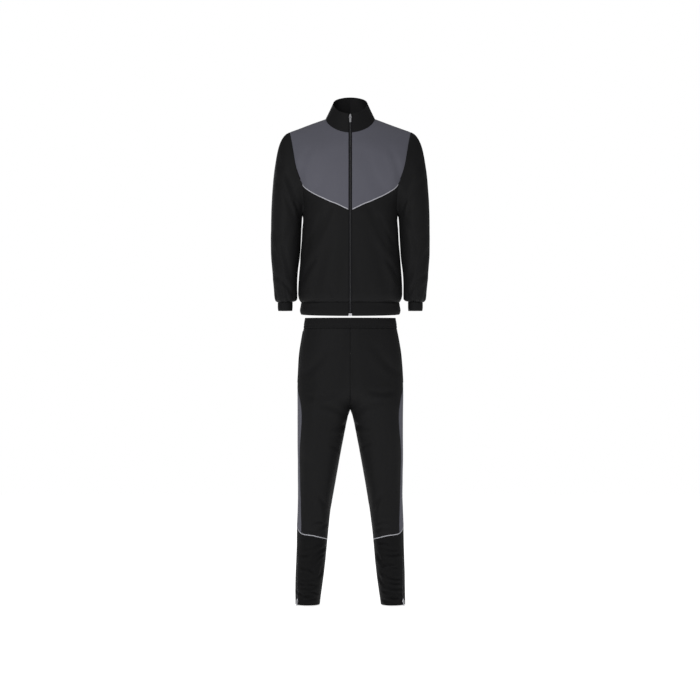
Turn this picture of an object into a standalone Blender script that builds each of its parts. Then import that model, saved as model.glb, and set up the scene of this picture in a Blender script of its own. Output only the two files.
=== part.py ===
"""A tracksuit worn by nobody: a zipped jacket above straight trousers, every piece a hollow cloth wall.

All lengths are millimetres until a mesh is written. +Z is up, the front faces -Y, and the origin lies
between the two neck points of the shoulder line.
"""

import math

import bpy
import numpy as np
from mathutils import Vector
from mathutils.geometry import tessellate_polygon

# Walls and seams
SHELL = 1.8
RIB = 2.4
SEAM_GAP = 0.32
LAY_GAP = 0.35
MOST_MITRE = 1.6
SHARPEST_CORNER = 0.35

# Grid steps of the seams
NECK_COLUMNS = 5
SHOULDER_COLUMNS = 4
YOKE_ROWS = 6
ARMPIT_ROWS = 4
BACK_ARM_ROWS = YOKE_ROWS + ARMPIT_ROWS
LEG_BACK_COLUMNS = 8
KNEE_SAMPLES = (-35, -15, 5, 26, 45, 62, 79, 96, 113, 130, 147, 163, 180)
STRIPE_COLUMNS = 4
SIDE_COLUMNS = 3

# Folds
FOLD_FADE = 35.0
BACK_FOLD_SHARE = 0.8
FOLD_END = 1.5

# Jacket
SECTION_POWER = 2.3
SHOULDER_TOP = 36.0
SHOULDER_SLOPE = 0.37
SHOULDER_LEAN = 8.0
FRONT_ROUNDING = 130.0
BACK_ROUNDING = 110.0
NECK_HALF = 88.0
NECK_FRONT_DROP = 55.4
NECK_POWER = 1.8
ZIP_HALF = 6.3
TAPE_EDGE = 6.15
CHAIN_HALF = 2.3
ARMPIT_Z = -342.4
HEM_SEAM_Z = -657.5
BAND_SIDE_Z = -699.0
BAND_FRONT_Z = -707.0
COLLAR_TOP_HALF = 61.0
COLLAR_TOP_DEPTH = 66.0
COLLAR_TOP_LEAN = 6.0
COLLAR_TOP_Z = 53.0
COLLAR_TOP_TILT = 36.0
COLLAR_SIDE_RISE = 5.0
COLLAR_ROWS = (0.0, 0.36, 0.72, 1.0)
NECK_BACK_RISE = 8.6
NECK_BACK_DIP = 5.0
BAND_ROWS = {"share": (0.0, 0.3, 0.8, 1.0), "swell": (1.0, 1.012, 1.022, 1.004)}
PIPING_WIDTH = 4.0
PIPING_LIFT = 0.8
PIPING_INSET = (1.0, 4.5)
KNEE_INSET = 2.5
PIPING_HEIGHT = 1.2

# Trousers
WAIST_TOP_Z = -713.0
WAIST_STITCH_Z = -741.0
WAIST_SEAM_Z = -749.5
CROTCH_Z = -1038.6
MERGE_HEIGHT = 140.0
ANKLE_Z = -1742.0
GATHERS = 96
GATHER_HEIGHT = 1.5
GATHER_UNEVEN = 0.25
GATHER_DRIFT = 0.7
WAISTBAND = {
    "z": (WAIST_TOP_Z, WAIST_STITCH_Z, WAIST_SEAM_Z),
    "half_width": (161.0, 165.6, 166.2),
    "front": (95.0, 97.5, 98.0),
    "back": (99.0, 101.5, 102.0),
    "gather": (0.8, 0.5, 1.0),
}
STRIPE_TOP_ROW = 5
STRIPE_TIP = 0.06
LEG_POWER = 2.15

TORSO = {
    "z": (40, -47, -108, -162, -198, -241, -270, -306, -342.4, -352.8, -396, -440, -483, -526, -569,
          -612, -636, -649, -657.5),
    "half_width": (226, 226, 226, 222, 212, 196, 183, 172.5, 170.6, 169.4, 172.1, 174.1, 177.7, 180.7,
                   184.5, 186.6, 185.6, 181.3, 175.4),
    "front": (70, 82, 98, 110, 116, 121, 124, 127, 128, 128, 128, 127, 126, 125, 124, 122, 120, 116, 110),
    "back": (86, 100, 112, 117, 119, 120, 120, 120, 119, 119, 118, 117, 117, 118, 119, 119, 117, 113, 108),
}
CHEST_SEAM = {
    "x": (6.3, 21.6, 46.5, 71.3, 96.2, 121.5, 146.5, 161.7, 168.5, 170.7),
    "z": (-329.5, -322.3, -309.9, -300.0, -288.1, -276.2, -260.7, -248.7, -240.5, -232.3),
}
ARMHOLE_YOKE = {
    "x": (170.7, 182.0, 194.6, 202.0, 210.2, 218.0),
    "z": (-232.3, -207.3, -167.4, -127.0, -79.4, -44.66),
}
ARMHOLE_FRONT = {
    "x": (170.6, 166.6, 165.2, 167.0, 170.7),
    "z": (-342.4, -330.0, -295.0, -263.0, -232.3),
}
ARMHOLE_BACK = {
    "x": (170.6, 170.0, 175.0, 185.0, 195.0, 204.0, 211.0, 218.0),
    "z": (-342.4, -325.0, -285.0, -235.0, -185.0, -135.0, -88.0, -44.66),
}
SIDE_SEAM_Z = (-657.5, -649.0, -636.0, -600.0, -540.0, -475.0, -408.0, -352.8, -342.4)
ZIP_EDGE_Z = (-657.5, -649.0, -636.0, -600.0, -552.0, -508.0, -470.0, -438.0, -410.0, -385.0, -364.0,
              -346.0, -329.5)

SLEEVE = {
    "outer_x": (218, 233, 246, 257.5, 267, 275.2, 280.5, 283.6, 285, 285.2, 284, 280.5, 277, 273.5, 271.5,
                269.0, 264.0, 259.2),
    "outer_z": (-44.66, -54, -72, -101, -144, -200, -262, -330, -395, -440, -490, -540, -582, -616, -637,
                -649, -654.5, -656.5),
    "inner_x": (170.6, 172.0, 173.0, 173.7, 174.2, 174.6, 175.0, 175.5, 177.0, 179.2, 182.5, 188.2, 191,
                191.2, 191.2, 192.2, 198.5, 208.4),
    "inner_z": (-342.4, -344.5, -347.5, -351.5, -357, -362.5, -369, -378, -410, -450, -495, -540, -580,
                -613, -635, -646, -651.5, -654.0),
    "half_depth": (66, 67, 69, 70.5, 72, 72.5, 72.5, 72, 71, 68, 64, 60, 57, 54, 51.5, 48, 42, 31),
    "centre_y": (0, 0, 0, 0, 0, 0, 0, 0, -1, -3, -6, -9, -12, -14, -15, -16, -16, -16),
    "tube": (0, 0.1, 0.22, 0.38, 0.56, 0.75, 0.9, 1, 1, 1, 1, 1, 1, 1, 1, 1, 1, 1),
}
CUFF = {
    "outer_x": (259.2, 259.6, 258.0),
    "outer_z": (-656.5, -675.0, -687.5),
    "inner_x": (208.4, 208.2, 209.4),
    "inner_z": (-654.0, -674.0, -687.5),
    "half_depth": (31, 31.5, 30.5),
    "centre_y": (-16, -16.5, -17),
    "tube": (1, 1, 1),
}

LEG = {
    "z": (-750, -777.6, -806, -835.2, -892.8, -950.4, -1038.6, -1065.6, -1123.2, -1180.8, -1238.4, -1296,
          -1353.6, -1411.2, -1440, -1468.8, -1526.4, -1584, -1641.6, -1699.2, -1742),
    "outer": (166, 171.5, 176.5, 181.4, 186.4, 189, 189, 189, 189, 188.8, 188.4, 187.7, 187.2, 189.3,
              190.8, 191.6, 192.2, 193.8, 196, 197.1, 197.1),
    "gap": (0, 0, 0, 0, 0, 0, 0, 9.5, 21.6, 32.4, 42.9, 53.3, 63.4, 72.7, 76.2, 79.6, 84.9, 89.9, 96.9,
            104.9, 111),
    "front": (98, 101, 103, 105, 107, 107, 103, 101, 97, 92, 86, 80, 76, 73, 71.5, 70, 66, 62, 58, 54, 52),
    "back": (102, 110, 118, 125, 133, 136, 124, 117, 106, 98, 91, 85, 80, 77, 77, 77, 76, 73, 67, 60, 56),
}
HIP_ROWS_Z = (-750.0, -790.0, -832.0, -874.0, -915.0, -956.0, -997.0, -1038.6)
THIGH_ROWS = (0.025, 0.10, 0.21, 0.33, 0.45, 0.57, 0.69, 0.80, 0.90, 1.0)
CALF_ROWS = (0.05, 0.13, 0.21, 0.30, 0.38, 0.46, 0.54, 0.62, 0.70, 0.78, 0.86, 0.93, 1.0)
KNEE_SEAM = {
    "angle": (-180, -135, -90, -35, -20, 0, 20, 45, 90, 135, 180),
    "z": (-1509.5, -1475, -1442, -1428, -1438, -1456.2, -1468.7, -1482.7, -1490, -1500.6, -1509.5),
}
STRIPE_FRONT = {"z": (-956, -979, -1224, -1332, -1454), "angle": (0, 13, 26, 31, 45)}
STRIPE_BACK = {"z": (-956, -979, -1224, -1332, -1428), "angle": (0, -11, -24, -29, -35)}
SHIN_SEAM = {"z": (-1470, -1584, -1742), "angle": (26, 32, 42)}

# Soft folds: ends of each line on the front or back view, reach across the line, and height (minus = trough)
JACKET_FOLDS = {
    "x0": (78, 106, 138, -80, -108, -136, 60, -60, 120, -118, 70, -74, 150, -148, 40, -44),
    "z0": (-332, -358, -520, -332, -352, -514, -350, -350, -420, -430, -150, -150, -250, -252, -560, -566),
    "x1": (148, 158, 172, -150, -160, -174, 96, -92, 150, -150, 150, -152, 176, -176, 130, -124),
    "z1": (-474, -450, -585, -468, -446, -590, -600, -610, -560, -566, -290, -286, -500, -505, -628, -626),
    "reach": (20, 18, 16, 20, 18, 16, 26, 26, 20, 20, 26, 26, 20, 20, 22, 22),
    "height": (-3.2, 2.6, -3.0, -3.0, 2.6, -3.0, 2.0, 2.0, -2.0, -2.0, -2.4, -2.4, -2.6, -2.6, 2.6, 2.6),
}
SLEEVE_FOLDS = {
    "x0": (256, -256, 252, -252, 206, -206, 262, -262, 240, -240),
    "z0": (-151, -151, -427, -420, -360, -356, -560, -566, -300, -306),
    "x1": (192, -192, 212, -212, 240, -240, 205, -205, 268, -268),
    "z1": (-290, -288, -565, -560, -470, -478, -628, -622, -400, -392),
    "reach": (18, 18, 18, 18, 16, 16, 15, 15, 16, 16),
    "height": (-3.4, -3.4, -3.2, -3.2, 2.4, 2.4, -3.0, -3.0, -2.2, -2.2),
}
TROUSER_FOLDS = {
    "x0": (82, 96, 14, -14, 108, -60, -92, 86, -104, 40, -40, 120, -120, 90, -88),
    "z0": (-974, -824, -1098, -1094, -1350, -980, -836, -1260, -1360, -1000, -1004, -900, -905, -1120, -1130),
    "x1": (140, 168, 62, -58, 86, -130, -165, 150, -88, 110, -108, 150, -150, 80, -84),
    "z1": (-976, -904, -1104, -1108, -1395, -990, -910, -1240, -1400, -1060, -1064, -1180, -1190, -1420, -1425),
    "reach": (16, 20, 16, 16, 16, 16, 20, 18, 16, 18, 18, 22, 22, 20, 20),
    "height": (-2.6, -2.6, -2.6, -2.6, -2.6, -2.4, -2.6, -2.0, -2.4, -2.2, -2.2, 2.2, 2.2, -2.2, -2.2),
}
CALF_FOLDS = {
    "x0": (136, 150, 148, 148, 152, 132, 158, -136, -136, -162, -162, -160, -128, -120),
    "z0": (-1518, -1556, -1592, -1650, -1706, -1632, -1690, -1580, -1600, -1648, -1678, -1704, -1526, -1560),
    "x1": (110, 122, 120, 176, 178, 112, 184, -102, -108, -132, -126, -136, -160, -176),
    "z1": (-1516, -1554, -1598, -1664, -1704, -1640, -1692, -1542, -1562, -1652, -1680, -1702, -1520, -1556),
    "reach": (9, 9, 9, 9, 9, 9, 9, 9, 9, 9, 9, 9, 9, 9),
    "height": (-2.4, -2.4, -2.4, -2.4, -2.8, -2.0, -2.2, -2.4, -2.4, -2.4, -2.4, -2.8, -2.0, -2.0),
}

# Zip heads, with lengths down the zip counted from the pull's axis
SLIDER_FOOT = 1.95
SLIDER_TOP = 3.9
SLIDER_TAPER = 0.88
BRIDGE_SINK = 0.5
CHAMFER = 0.65
PIVOT_LIFT = 5.5
BRIDGE_HOLE = 2.9
BRIDGE_WALL = 0.9
BRIDGE_WIDTH = 2.6
PULL_WALL = 1.2
SLIDER_PLATE = {"half_width": (2.0, 3.4, 5.6, 4.6), "along": (-9.5, -5.0, 3.0, 4.5)}
PULL = {
    "half_width": (3.2, 4.2, 4.2, 3.4, 3.4, 2.4),
    "along": (-0.9, 2.0, 7.0, 9.0, 21.0, 22.4),
}
PULL_EYE = {"half_width": (2.2, 2.7, 2.7), "along": (0.9, 2.6, 6.0)}
FRONT_HEAD_Z = 5.0
ANKLE_HEAD_Z = -1727.0
ANKLE_SIZE = 0.8
ANKLE_HEAD_GAP = 0.5
ANKLE_ZIP_TOP_Z = -1566.0
ANKLE_TAPE_HALF = 3.2
ANKLE_ZIP_WALL = 1.2
KNEE_PIPING_WIDTH = 3.8
POCKET_TOP_Z = -760.0
POCKET_BOTTOM_Z = -945.0
POCKET_START = 1.2
POCKET_EDGE = 13.0
POCKET_WALL = 1.4
TAPE_WALL = 1.4
TEETH_WALL = 2.4
TEETH_LIFT = 0.3
ZIP_END_INSET = 0.6
BOX_HALF = 5.4
BOX_HEIGHT = 9.0
BOX_WALL = 2.0

COLOURS = {
    "black_cloth": (0.0116, 0.0116, 0.0125, 0.85, 0.0),
    "black_rib": (0.0095, 0.0095, 0.0102, 0.9, 0.0),
    "grey_cloth": (0.088, 0.088, 0.108, 0.8, 0.0),
    "light_piping": (0.36, 0.36, 0.39, 0.45, 0.0),
    "zip_tape": (0.008, 0.008, 0.009, 0.85, 0.0),
    "zip_teeth": (0.03, 0.03, 0.033, 0.4, 0.0),
    "zip_metal": (0.42, 0.42, 0.44, 0.35, 0.9),
}


def along(table, key, name, value):
    """Smooth curve through a column of a table at a value of its key column."""
    x = np.array(table[key], float)
    y = np.array(table[name], float)
    if x[0] > x[-1]:
        x = x[::-1]
        y = y[::-1]
    slope = np.gradient(y, x)
    value = np.clip(np.asarray(value, float), x[0], x[-1])
    i = np.clip(np.searchsorted(x, value, side="right") - 1, 0, len(x) - 2)
    width = x[i + 1] - x[i]
    t = (value - x[i]) / width
    rise = (1 + 2 * t) * (1 - t) ** 2 * y[i] + t * t * (3 - 2 * t) * y[i + 1]
    return rise + width * (t * (1 - t) ** 2 * slope[i] - t * t * (1 - t) * slope[i + 1])


def spaced(table, count):
    """Points at equal steps of length along the smooth curve through a table's x and z columns."""
    x = np.array(table["x"], float)
    z = np.array(table["z"], float)
    length = np.concatenate([[0], np.cumsum(np.hypot(np.diff(x), np.diff(z)))])
    keyed = {"length": length, "x": x, "z": z}
    step = np.linspace(0, length[-1], count + 1)
    return np.stack([along(keyed, "length", "x", step), along(keyed, "length", "z", step)], 1)


def shoulder_z(x):
    return SHOULDER_TOP - SHOULDER_SLOPE * np.abs(x)


def torso(side, x, z):
    """Point of the jacket body at a width and a height: side -1 is the front and +1 the back."""
    x = np.asarray(x, float)
    z = np.asarray(z, float)
    half = along(TORSO, "z", "half_width", z)
    depth = along(TORSO, "z", "front" if side < 0 else "back", z)
    across = np.clip(np.abs(x) / half, 0, 1)
    profile = (1 - across**SECTION_POWER) ** (1 / SECTION_POWER)
    rounding = FRONT_ROUNDING if side < 0 else BACK_ROUNDING
    rise = np.clip((shoulder_z(x) - z) / rounding, 0, 1)
    ridge = SHOULDER_LEAN * (1 - np.abs(x) / ARMHOLE_YOKE["x"][-1])
    y = ridge + side * (depth - side * ridge) * profile * np.sqrt(1 - (1 - rise) ** 2)
    return np.stack([x, y, z], -1)


def to_turn(x, z):
    """Width turned into a share of the quarter turn from the centre line to the side."""
    half = along(TORSO, "z", "half_width", z)
    across = np.clip(x / half, 0, 1) ** (SECTION_POWER / 2)
    return np.arcsin(across) * 2 / math.pi


def from_turn(turn, z):
    half = along(TORSO, "z", "half_width", z)
    return half * np.sin(np.clip(turn, 0, 1) * math.pi / 2) ** (2 / SECTION_POWER)


def blended(bottom, top, left, right):
    """Grid of rows and columns filled between four edges that share their corners."""
    u = np.linspace(0, 1, len(bottom))[None, :, None]
    height = left[:, 1] + right[:, 1]
    v = ((height - height[0]) / (height[-1] - height[0]))[:, None, None]
    corners = (1 - u) * ((1 - v) * bottom[0] + v * top[0]) + u * ((1 - v) * bottom[-1] + v * top[-1])
    return (1 - v) * bottom + v * top + (1 - u) * left[:, None] + u * right[:, None] - corners


def turned(points):
    return np.stack([to_turn(points[:, 0], points[:, 1]), points[:, 1]], 1)


def body_panel(side, bottom, top, left, right):
    grid = blended(turned(bottom), turned(top), turned(left), turned(right))
    return torso(side, from_turn(grid[..., 0], grid[..., 1]), grid[..., 1])


def neck_front(count):
    start = math.asin((ZIP_HALF / NECK_HALF) ** (NECK_POWER / 2))
    turn = np.linspace(start, math.pi / 2, count + 1)
    x = NECK_HALF * np.sin(turn) ** (2 / NECK_POWER)
    top = shoulder_z(NECK_HALF)
    z = top - NECK_FRONT_DROP * np.cos(turn) ** (2 / NECK_POWER)
    z[-1] = top
    return np.stack([x, z], 1)


def neck_back(count):
    turn = np.linspace(0, math.pi / 2, count + 1)
    top = shoulder_z(NECK_HALF)
    z = top + NECK_BACK_RISE * np.cos(turn) ** 2 - NECK_BACK_DIP * np.sin(2 * turn) ** 2
    return np.stack([NECK_HALF * np.sin(turn), z], 1)


def shoulder_line(count):
    x = np.linspace(NECK_HALF, ARMHOLE_YOKE["x"][-1], count + 1)
    return np.stack([x, shoulder_z(x)], 1)


def mirrored(grid):
    return grid * np.array([-1.0, 1.0, 1.0])


def tube_rings(table, first_ring, columns):
    """Rings of a sleeve: each lies between its outer and inner point, and the first rings open out of the
    armhole loop."""
    turn = np.linspace(0, 2 * math.pi, columns, endpoint=False)
    across0 = np.cos(turn)
    depth0 = None
    rings = []
    for row in range(len(table["outer_x"])):
        outer = np.array([table["outer_x"][row], table["outer_z"][row]], float)
        inner = np.array([table["inner_x"][row], table["inner_z"][row]], float)
        centre = (outer + inner) / 2
        half = np.hypot(*(outer - inner)) / 2
        along_chord = (outer - inner) / (2 * half)
        off_chord = np.array([along_chord[1], -along_chord[0]])
        if row == 0 and first_ring is not None:
            flat = first_ring[:, [0, 2]] - centre
            across0 = flat @ along_chord / half
            off0 = flat @ off_chord
            depth0 = first_ring[:, 1]
        tube = table["tube"][row] if depth0 is not None else 1.0
        across = tube * np.cos(turn)
        depth = tube * (table["centre_y"][row] - table["half_depth"][row] * np.sin(turn))
        off = np.zeros(columns)
        if tube < 1:
            across = across + (1 - tube) * across0
            depth = depth + (1 - tube) * depth0
            off = (1 - tube) * off0
        flat = centre + half * across[:, None] * along_chord + off[:, None] * off_chord
        rings.append(np.stack([flat[:, 0], depth, flat[:, 1]], 1))
    return np.array(rings)


def leg_point(angle, z):
    """Point of the right leg: 0 degrees is the outer side, 90 the front and 180 the inner side."""
    angle = np.radians(angle)
    outer = along(LEG, "z", "outer", z)
    gap = np.where(z > CROTCH_Z, 0, np.interp(z, LEG["z"][::-1], LEG["gap"][::-1]))
    merge = np.clip(1 - (z - CROTCH_Z) / MERGE_HEIGHT, 0, 1)
    merge = merge * merge * (3 - 2 * merge)
    centre = (outer + gap) / 2 * merge
    half = outer - centre
    depth = np.where(angle > 0, along(LEG, "z", "front", z), along(LEG, "z", "back", z))
    cosine = np.cos(angle)
    sine = np.sin(angle)
    x = centre + half * np.sign(cosine) * np.abs(cosine) ** (2 / LEG_POWER)
    y = -depth * np.sign(sine) * np.abs(sine) ** (2 / LEG_POWER)
    return np.stack([x, y, np.broadcast_to(z, x.shape)], -1)


def inner_angle(z):
    """Angle at which a leg section reaches the middle line above the crotch."""
    outer = along(LEG, "z", "outer", z)
    merge = np.clip(1 - (z - CROTCH_Z) / MERGE_HEIGHT, 0, 1)
    merge = merge * merge * (3 - 2 * merge)
    centre = outer / 2 * merge
    cosine = np.clip(centre / (outer - centre), 0, 1) ** (LEG_POWER / 2)
    return np.where(z > CROTCH_Z + 1e-6, 180 - np.degrees(np.arccos(cosine)), 180.0)


def leg_z(row, angle):
    """Height of a row of the leg at an angle: level down to the crotch, then easing to the knee seam."""
    knee = along(KNEE_SEAM, "angle", "z", angle)
    hips = len(HIP_ROWS_Z)
    thighs = hips + len(THIGH_ROWS)
    if row < hips:
        return np.full(np.shape(angle), HIP_ROWS_Z[row])
    if row < thighs:
        return CROTCH_Z + (knee - CROTCH_Z) * THIGH_ROWS[row - hips]
    return knee + (ANKLE_Z - knee) * CALF_ROWS[row - thighs]


def leg_panel(rows, start, end, shares):
    """Grid of a leg piece between two seams, each given as an angle at a height."""
    grid = []
    for row in rows:
        angle = np.zeros(len(shares))
        z = leg_z(row, angle)
        for _ in range(3):
            first = start(z[0])
            last = end(z[-1])
            angle = first + (last - first) * np.asarray(shares)
            z = leg_z(row, angle)
        grid.append(leg_point(angle, z))
    return np.array(grid)


def normals_of(grid, closed):
    """Unit normals of a grid, from the differences between its rows and its columns."""
    down = np.gradient(grid, axis=0)
    if closed:
        across = np.roll(grid, -1, 1) - np.roll(grid, 1, 1)
    else:
        across = np.gradient(grid, axis=1)
    normal = np.cross(down, across)
    size = np.linalg.norm(normal, axis=-1, keepdims=True)
    return normal / np.maximum(size, 1e-9)


def edge_mask(shape, closed):
    mask = np.zeros(shape, bool)
    mask[0] = True
    mask[-1] = True
    if not closed:
        mask[:, 0] = True
        mask[:, -1] = True
    return mask


def fold_height(points, table):
    """Height added by a table of soft folds at points seen from the front and, weaker, from the back."""
    x = points[..., 0]
    z = points[..., 2]
    total = np.zeros(x.shape)
    for x0, z0, x1, z1, reach, height in zip(*[table[name] for name in table]):
        run = np.hypot(x1 - x0, z1 - z0)
        ahead = ((x - x0) * (x1 - x0) + (z - z0) * (z1 - z0)) / run
        aside = ((x - x0) * (z1 - z0) - (z - z0) * (x1 - x0)) / run
        past = np.maximum(np.abs(ahead - run / 2) - run / 2, 0)
        total += height * np.exp(-((aside / reach) ** 2) - (past / (FOLD_END * reach)) ** 2)
    y = points[..., 1]
    share = np.clip(np.abs(y) / FOLD_FADE, 0, 1) * np.where(y < 0, 1.0, BACK_FOLD_SHARE)
    return total * share


class Cloth:
    """Grids of a garment, joined at their seams by shared points and shared normals."""

    def __init__(self):
        self.pieces = {}
        self.fixed = {}

    def add(self, name, grid, material, closed=False, wall=SHELL, folds=None):
        self.pieces[name] = {
            "grid": np.array(grid, float),
            "material": material,
            "closed": closed,
            "wall": wall,
            "folds": folds,
        }

    def key(self, point):
        return tuple(np.round(point * 20).astype(int))

    def orient(self):
        for piece in self.pieces.values():
            grid = piece["grid"]
            normal = normals_of(grid, piece["closed"])
            middle = np.array(grid.reshape(-1, 3).mean(0))
            if not piece["closed"]:
                middle = middle * np.array([0.55, 0.0, 1.0])
            if np.mean(np.sum(normal * (grid - middle), -1)) < 0:
                piece["grid"] = grid[:, ::-1].copy()

    def share_normals(self):
        sums = {}
        for piece in self.pieces.values():
            piece["own"] = normals_of(piece["grid"], piece["closed"])
            mask = edge_mask(piece["own"].shape[:2], piece["closed"])
            for point, normal in zip(piece["grid"][mask], piece["own"][mask]):
                key = self.key(point)
                sums[key] = sums.get(key, 0) + normal
        for key, normal in self.fixed.items():
            sums[key] = np.array(normal, float)
        for piece in self.pieces.values():
            mask = edge_mask(piece["own"].shape[:2], piece["closed"])
            normal = piece["own"].copy()
            shared = np.array([sums[self.key(point)] for point in piece["grid"][mask]])
            normal[mask] = shared / np.linalg.norm(shared, axis=1, keepdims=True)
            piece["normal"] = normal

    def fold(self):
        """Moves every piece along its normals by its folds, shared points by the mean of their pieces."""
        heights = {}
        for piece in self.pieces.values():
            height = np.zeros(piece["grid"].shape[:2])
            if piece["folds"] is not None:
                height = fold_height(piece["grid"], piece["folds"])
            piece["height"] = height
            mask = edge_mask(height.shape, piece["closed"])
            for point, value in zip(piece["grid"][mask], height[mask]):
                heights.setdefault(self.key(point), []).append(value)
        for piece in self.pieces.values():
            height = piece["height"]
            mask = edge_mask(height.shape, piece["closed"])
            height[mask] = [np.mean(heights[self.key(point)]) for point in piece["grid"][mask]]
            piece["grid"] = piece["grid"] + piece["normal"] * height[..., None]

    def settle(self):
        self.orient()
        tips = [(point, normal) for point, normal in self.fixed.items()]
        self.share_normals()
        before = {name: piece["grid"].copy() for name, piece in self.pieces.items()}
        self.fold()
        self.fixed = {}
        for name, piece in self.pieces.items():
            mask = edge_mask(before[name].shape[:2], piece["closed"])
            for old, new in zip(before[name][mask], piece["grid"][mask]):
                for point, normal in tips:
                    if self.key(old) == point:
                        self.fixed[self.key(new)] = normal
        self.share_normals()

    def walls(self, piece):
        """Outer and inner points of a piece, its free edges drawn back by half a seam gap."""
        grid = piece["grid"]
        normal = piece["normal"]
        mitre = 1 / np.maximum(np.sum(normal * piece["own"], -1), 1 / MOST_MITRE)
        shift = np.zeros(grid.shape)
        rows, columns = grid.shape[:2]
        inward = []
        for row, inside in ((0, 1), (rows - 1, rows - 2)):
            inward.append((np.s_[row, :], grid[inside] - grid[row]))
        if not piece["closed"]:
            for column, inside in ((0, 1), (columns - 1, columns - 2)):
                inward.append((np.s_[:, column], grid[:, inside] - grid[:, column]))
        seen = {}
        for where, inner_way in inward:
            edge = grid[where]
            if piece["closed"]:
                tangent = np.roll(edge, -1, 0) - np.roll(edge, 1, 0)
            else:
                tangent = np.gradient(edge, axis=0)
            way = np.cross(normal[where], tangent)
            way = way / np.linalg.norm(way, axis=1, keepdims=True)
            way = way * np.where(np.sum(way * inner_way, 1, keepdims=True) < 0, -1, 1)
            index = np.stack(np.meshgrid(np.arange(rows), np.arange(columns), indexing="ij"), -1)[where]
            for spot, one in zip(map(tuple, index), way):
                seen.setdefault(spot, []).append(one)
        for spot, ways in seen.items():
            total = np.sum(ways, 0)
            if len(ways) == 2:
                total = total / max(1 + float(ways[0] @ ways[1]), SHARPEST_CORNER)
            shift[spot] = total * SEAM_GAP / 2
        half = normal * (piece["wall"] / 2 * mitre)[..., None]
        return grid + shift + half, grid + shift - half

    def build(self):
        for name, piece in self.pieces.items():
            outer, inner = self.walls(piece)
            make_sheet(name, outer, inner, piece["closed"], piece["material"])


def make_sheet(name, outer, inner, closed, material):
    """Closed body between two grids, both split along the same diagonals."""
    rows, columns = outer.shape[:2]
    points = np.concatenate([outer.reshape(-1, 3), inner.reshape(-1, 3)])
    lift = rows * columns
    index = np.arange(lift).reshape(rows, columns)
    if closed:
        index = np.concatenate([index, index[:, :1]], 1)
    a = index[:-1, :-1].ravel()
    b = index[:-1, 1:].ravel()
    c = index[1:, 1:].ravel()
    d = index[1:, :-1].ravel()
    middle = (points[:lift] + points[lift:]) / 2
    first = np.linalg.norm(middle[a] - middle[c], axis=1) <= np.linalg.norm(middle[b] - middle[d], axis=1)
    one = np.where(first[:, None], np.stack([a, b, c], 1), np.stack([a, b, d], 1))
    two = np.where(first[:, None], np.stack([a, c, d], 1), np.stack([b, c, d], 1))
    skin = np.concatenate([one, two])
    loops = [index[0, ::-1], index[-1]]
    if not closed:
        loops += [index[:, 0], index[::-1, -1]]
    rims = []
    for loop in loops:
        start = loop[:-1]
        stop = loop[1:]
        rising = np.linalg.norm(points[start] - points[stop + lift], axis=1)
        falling = np.linalg.norm(points[stop] - points[start + lift], axis=1)
        pick = (rising < falling)[:, None]
        far = np.stack([stop, start, start + lift], 1)
        rims.append(np.where(pick, np.stack([stop, start, stop + lift], 1), far))
        near = np.stack([start, start + lift, stop + lift], 1)
        rims.append(np.where(pick, near, np.stack([stop, start + lift, stop + lift], 1)))
    faces = np.concatenate([skin[:, ::-1], skin + lift] + rims)
    return make_mesh(name, points, faces, material)


def make_mesh(name, points, faces, material, smooth=True):
    """Mesh in metres with its faces turned out."""
    points = np.asarray(points, float)
    faces = np.asarray(faces, int)
    a, b, c = (points[faces[:, k]] for k in range(3))
    if np.sum(a * np.cross(b, c)) < 0:
        faces = faces[:, ::-1]
    mesh = bpy.data.meshes.new(name)
    mesh.from_pydata((points / 1000.0).tolist(), [], faces.tolist())
    mesh.polygons.foreach_set("use_smooth", [smooth] * len(faces))
    mesh.materials.append(materials[material])
    thing = bpy.data.objects.new(name, mesh)
    bpy.context.scene.collection.objects.link(thing)
    return thing


def ribbon(name, line, normal, way, half_width, lift, height, material):
    """Strip along a line of points, its foot one lift above the line and its top edges drawn in."""
    foot = line + normal * lift
    top = foot + normal * height
    rings = np.stack([foot - way * half_width, foot + way * half_width], 1)
    caps = np.stack([top - way * half_width * 0.7, top + way * half_width * 0.7], 1)
    make_sheet(name, caps, rings, False, material)


def across_way(line, normal):
    """Unit directions across a line of points, in the cloth."""
    way = np.cross(normal, np.gradient(line, axis=0))
    return way / np.linalg.norm(way, axis=1, keepdims=True)


def drawn_in(line, start, end):
    """The same line with its two ends drawn in by set lengths."""
    line = line.copy()
    for spot, inside, length in ((0, 1, start), (-1, -2, end)):
        way = line[inside] - line[spot]
        line[spot] = line[spot] + way / np.linalg.norm(way) * length
    return line


def edge_of(piece, test):
    """Points and normals of the side edge of a piece whose first point scores lowest in a test."""
    columns = (0, -1)
    column = min(columns, key=lambda k: test(piece["grid"][0, k]))
    return piece["grid"][:, column], piece["normal"][:, column]


def row_of(piece, row, test):
    """Points and normals of one row of a piece, from the end that scores lowest in a test."""
    line = piece["grid"][row]
    normal = piece["normal"][row]
    if test(line[0]) > test(line[-1]):
        line = line[::-1]
        normal = normal[::-1]
    return line, normal


def pierced_plate(outer, hole, thickness):
    """Plate with a hole, flat in its first two directions and centred on zero in the third."""
    loops = [[Vector((x, y, 0.0)) for x, y in loop] for loop in (outer, hole[::-1])]
    flat = [point for loop in loops for point in loop]
    count = len(flat)
    points = [(p.x, p.y, thickness / 2) for p in flat] + [(p.x, p.y, -thickness / 2) for p in flat]
    faces = []
    for a, b, c in tessellate_polygon(loops):
        turn = (flat[b] - flat[a]).cross(flat[c] - flat[a]).z
        a, b, c = (a, b, c) if turn > 0 else (a, c, b)
        faces += [(a, b, c), (a + count, c + count, b + count)]
    start = 0
    for loop in loops:
        for k in range(len(loop)):
            a = start + k
            b = start + (k + 1) % len(loop)
            faces += [(b, a, a + count), (b, a + count, b + count)]
        start += len(loop)
    return np.array(points), faces


def placed(points, origin, axes):
    """Points given along three axes, moved to a place."""
    return origin + points @ np.array(axes)


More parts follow.
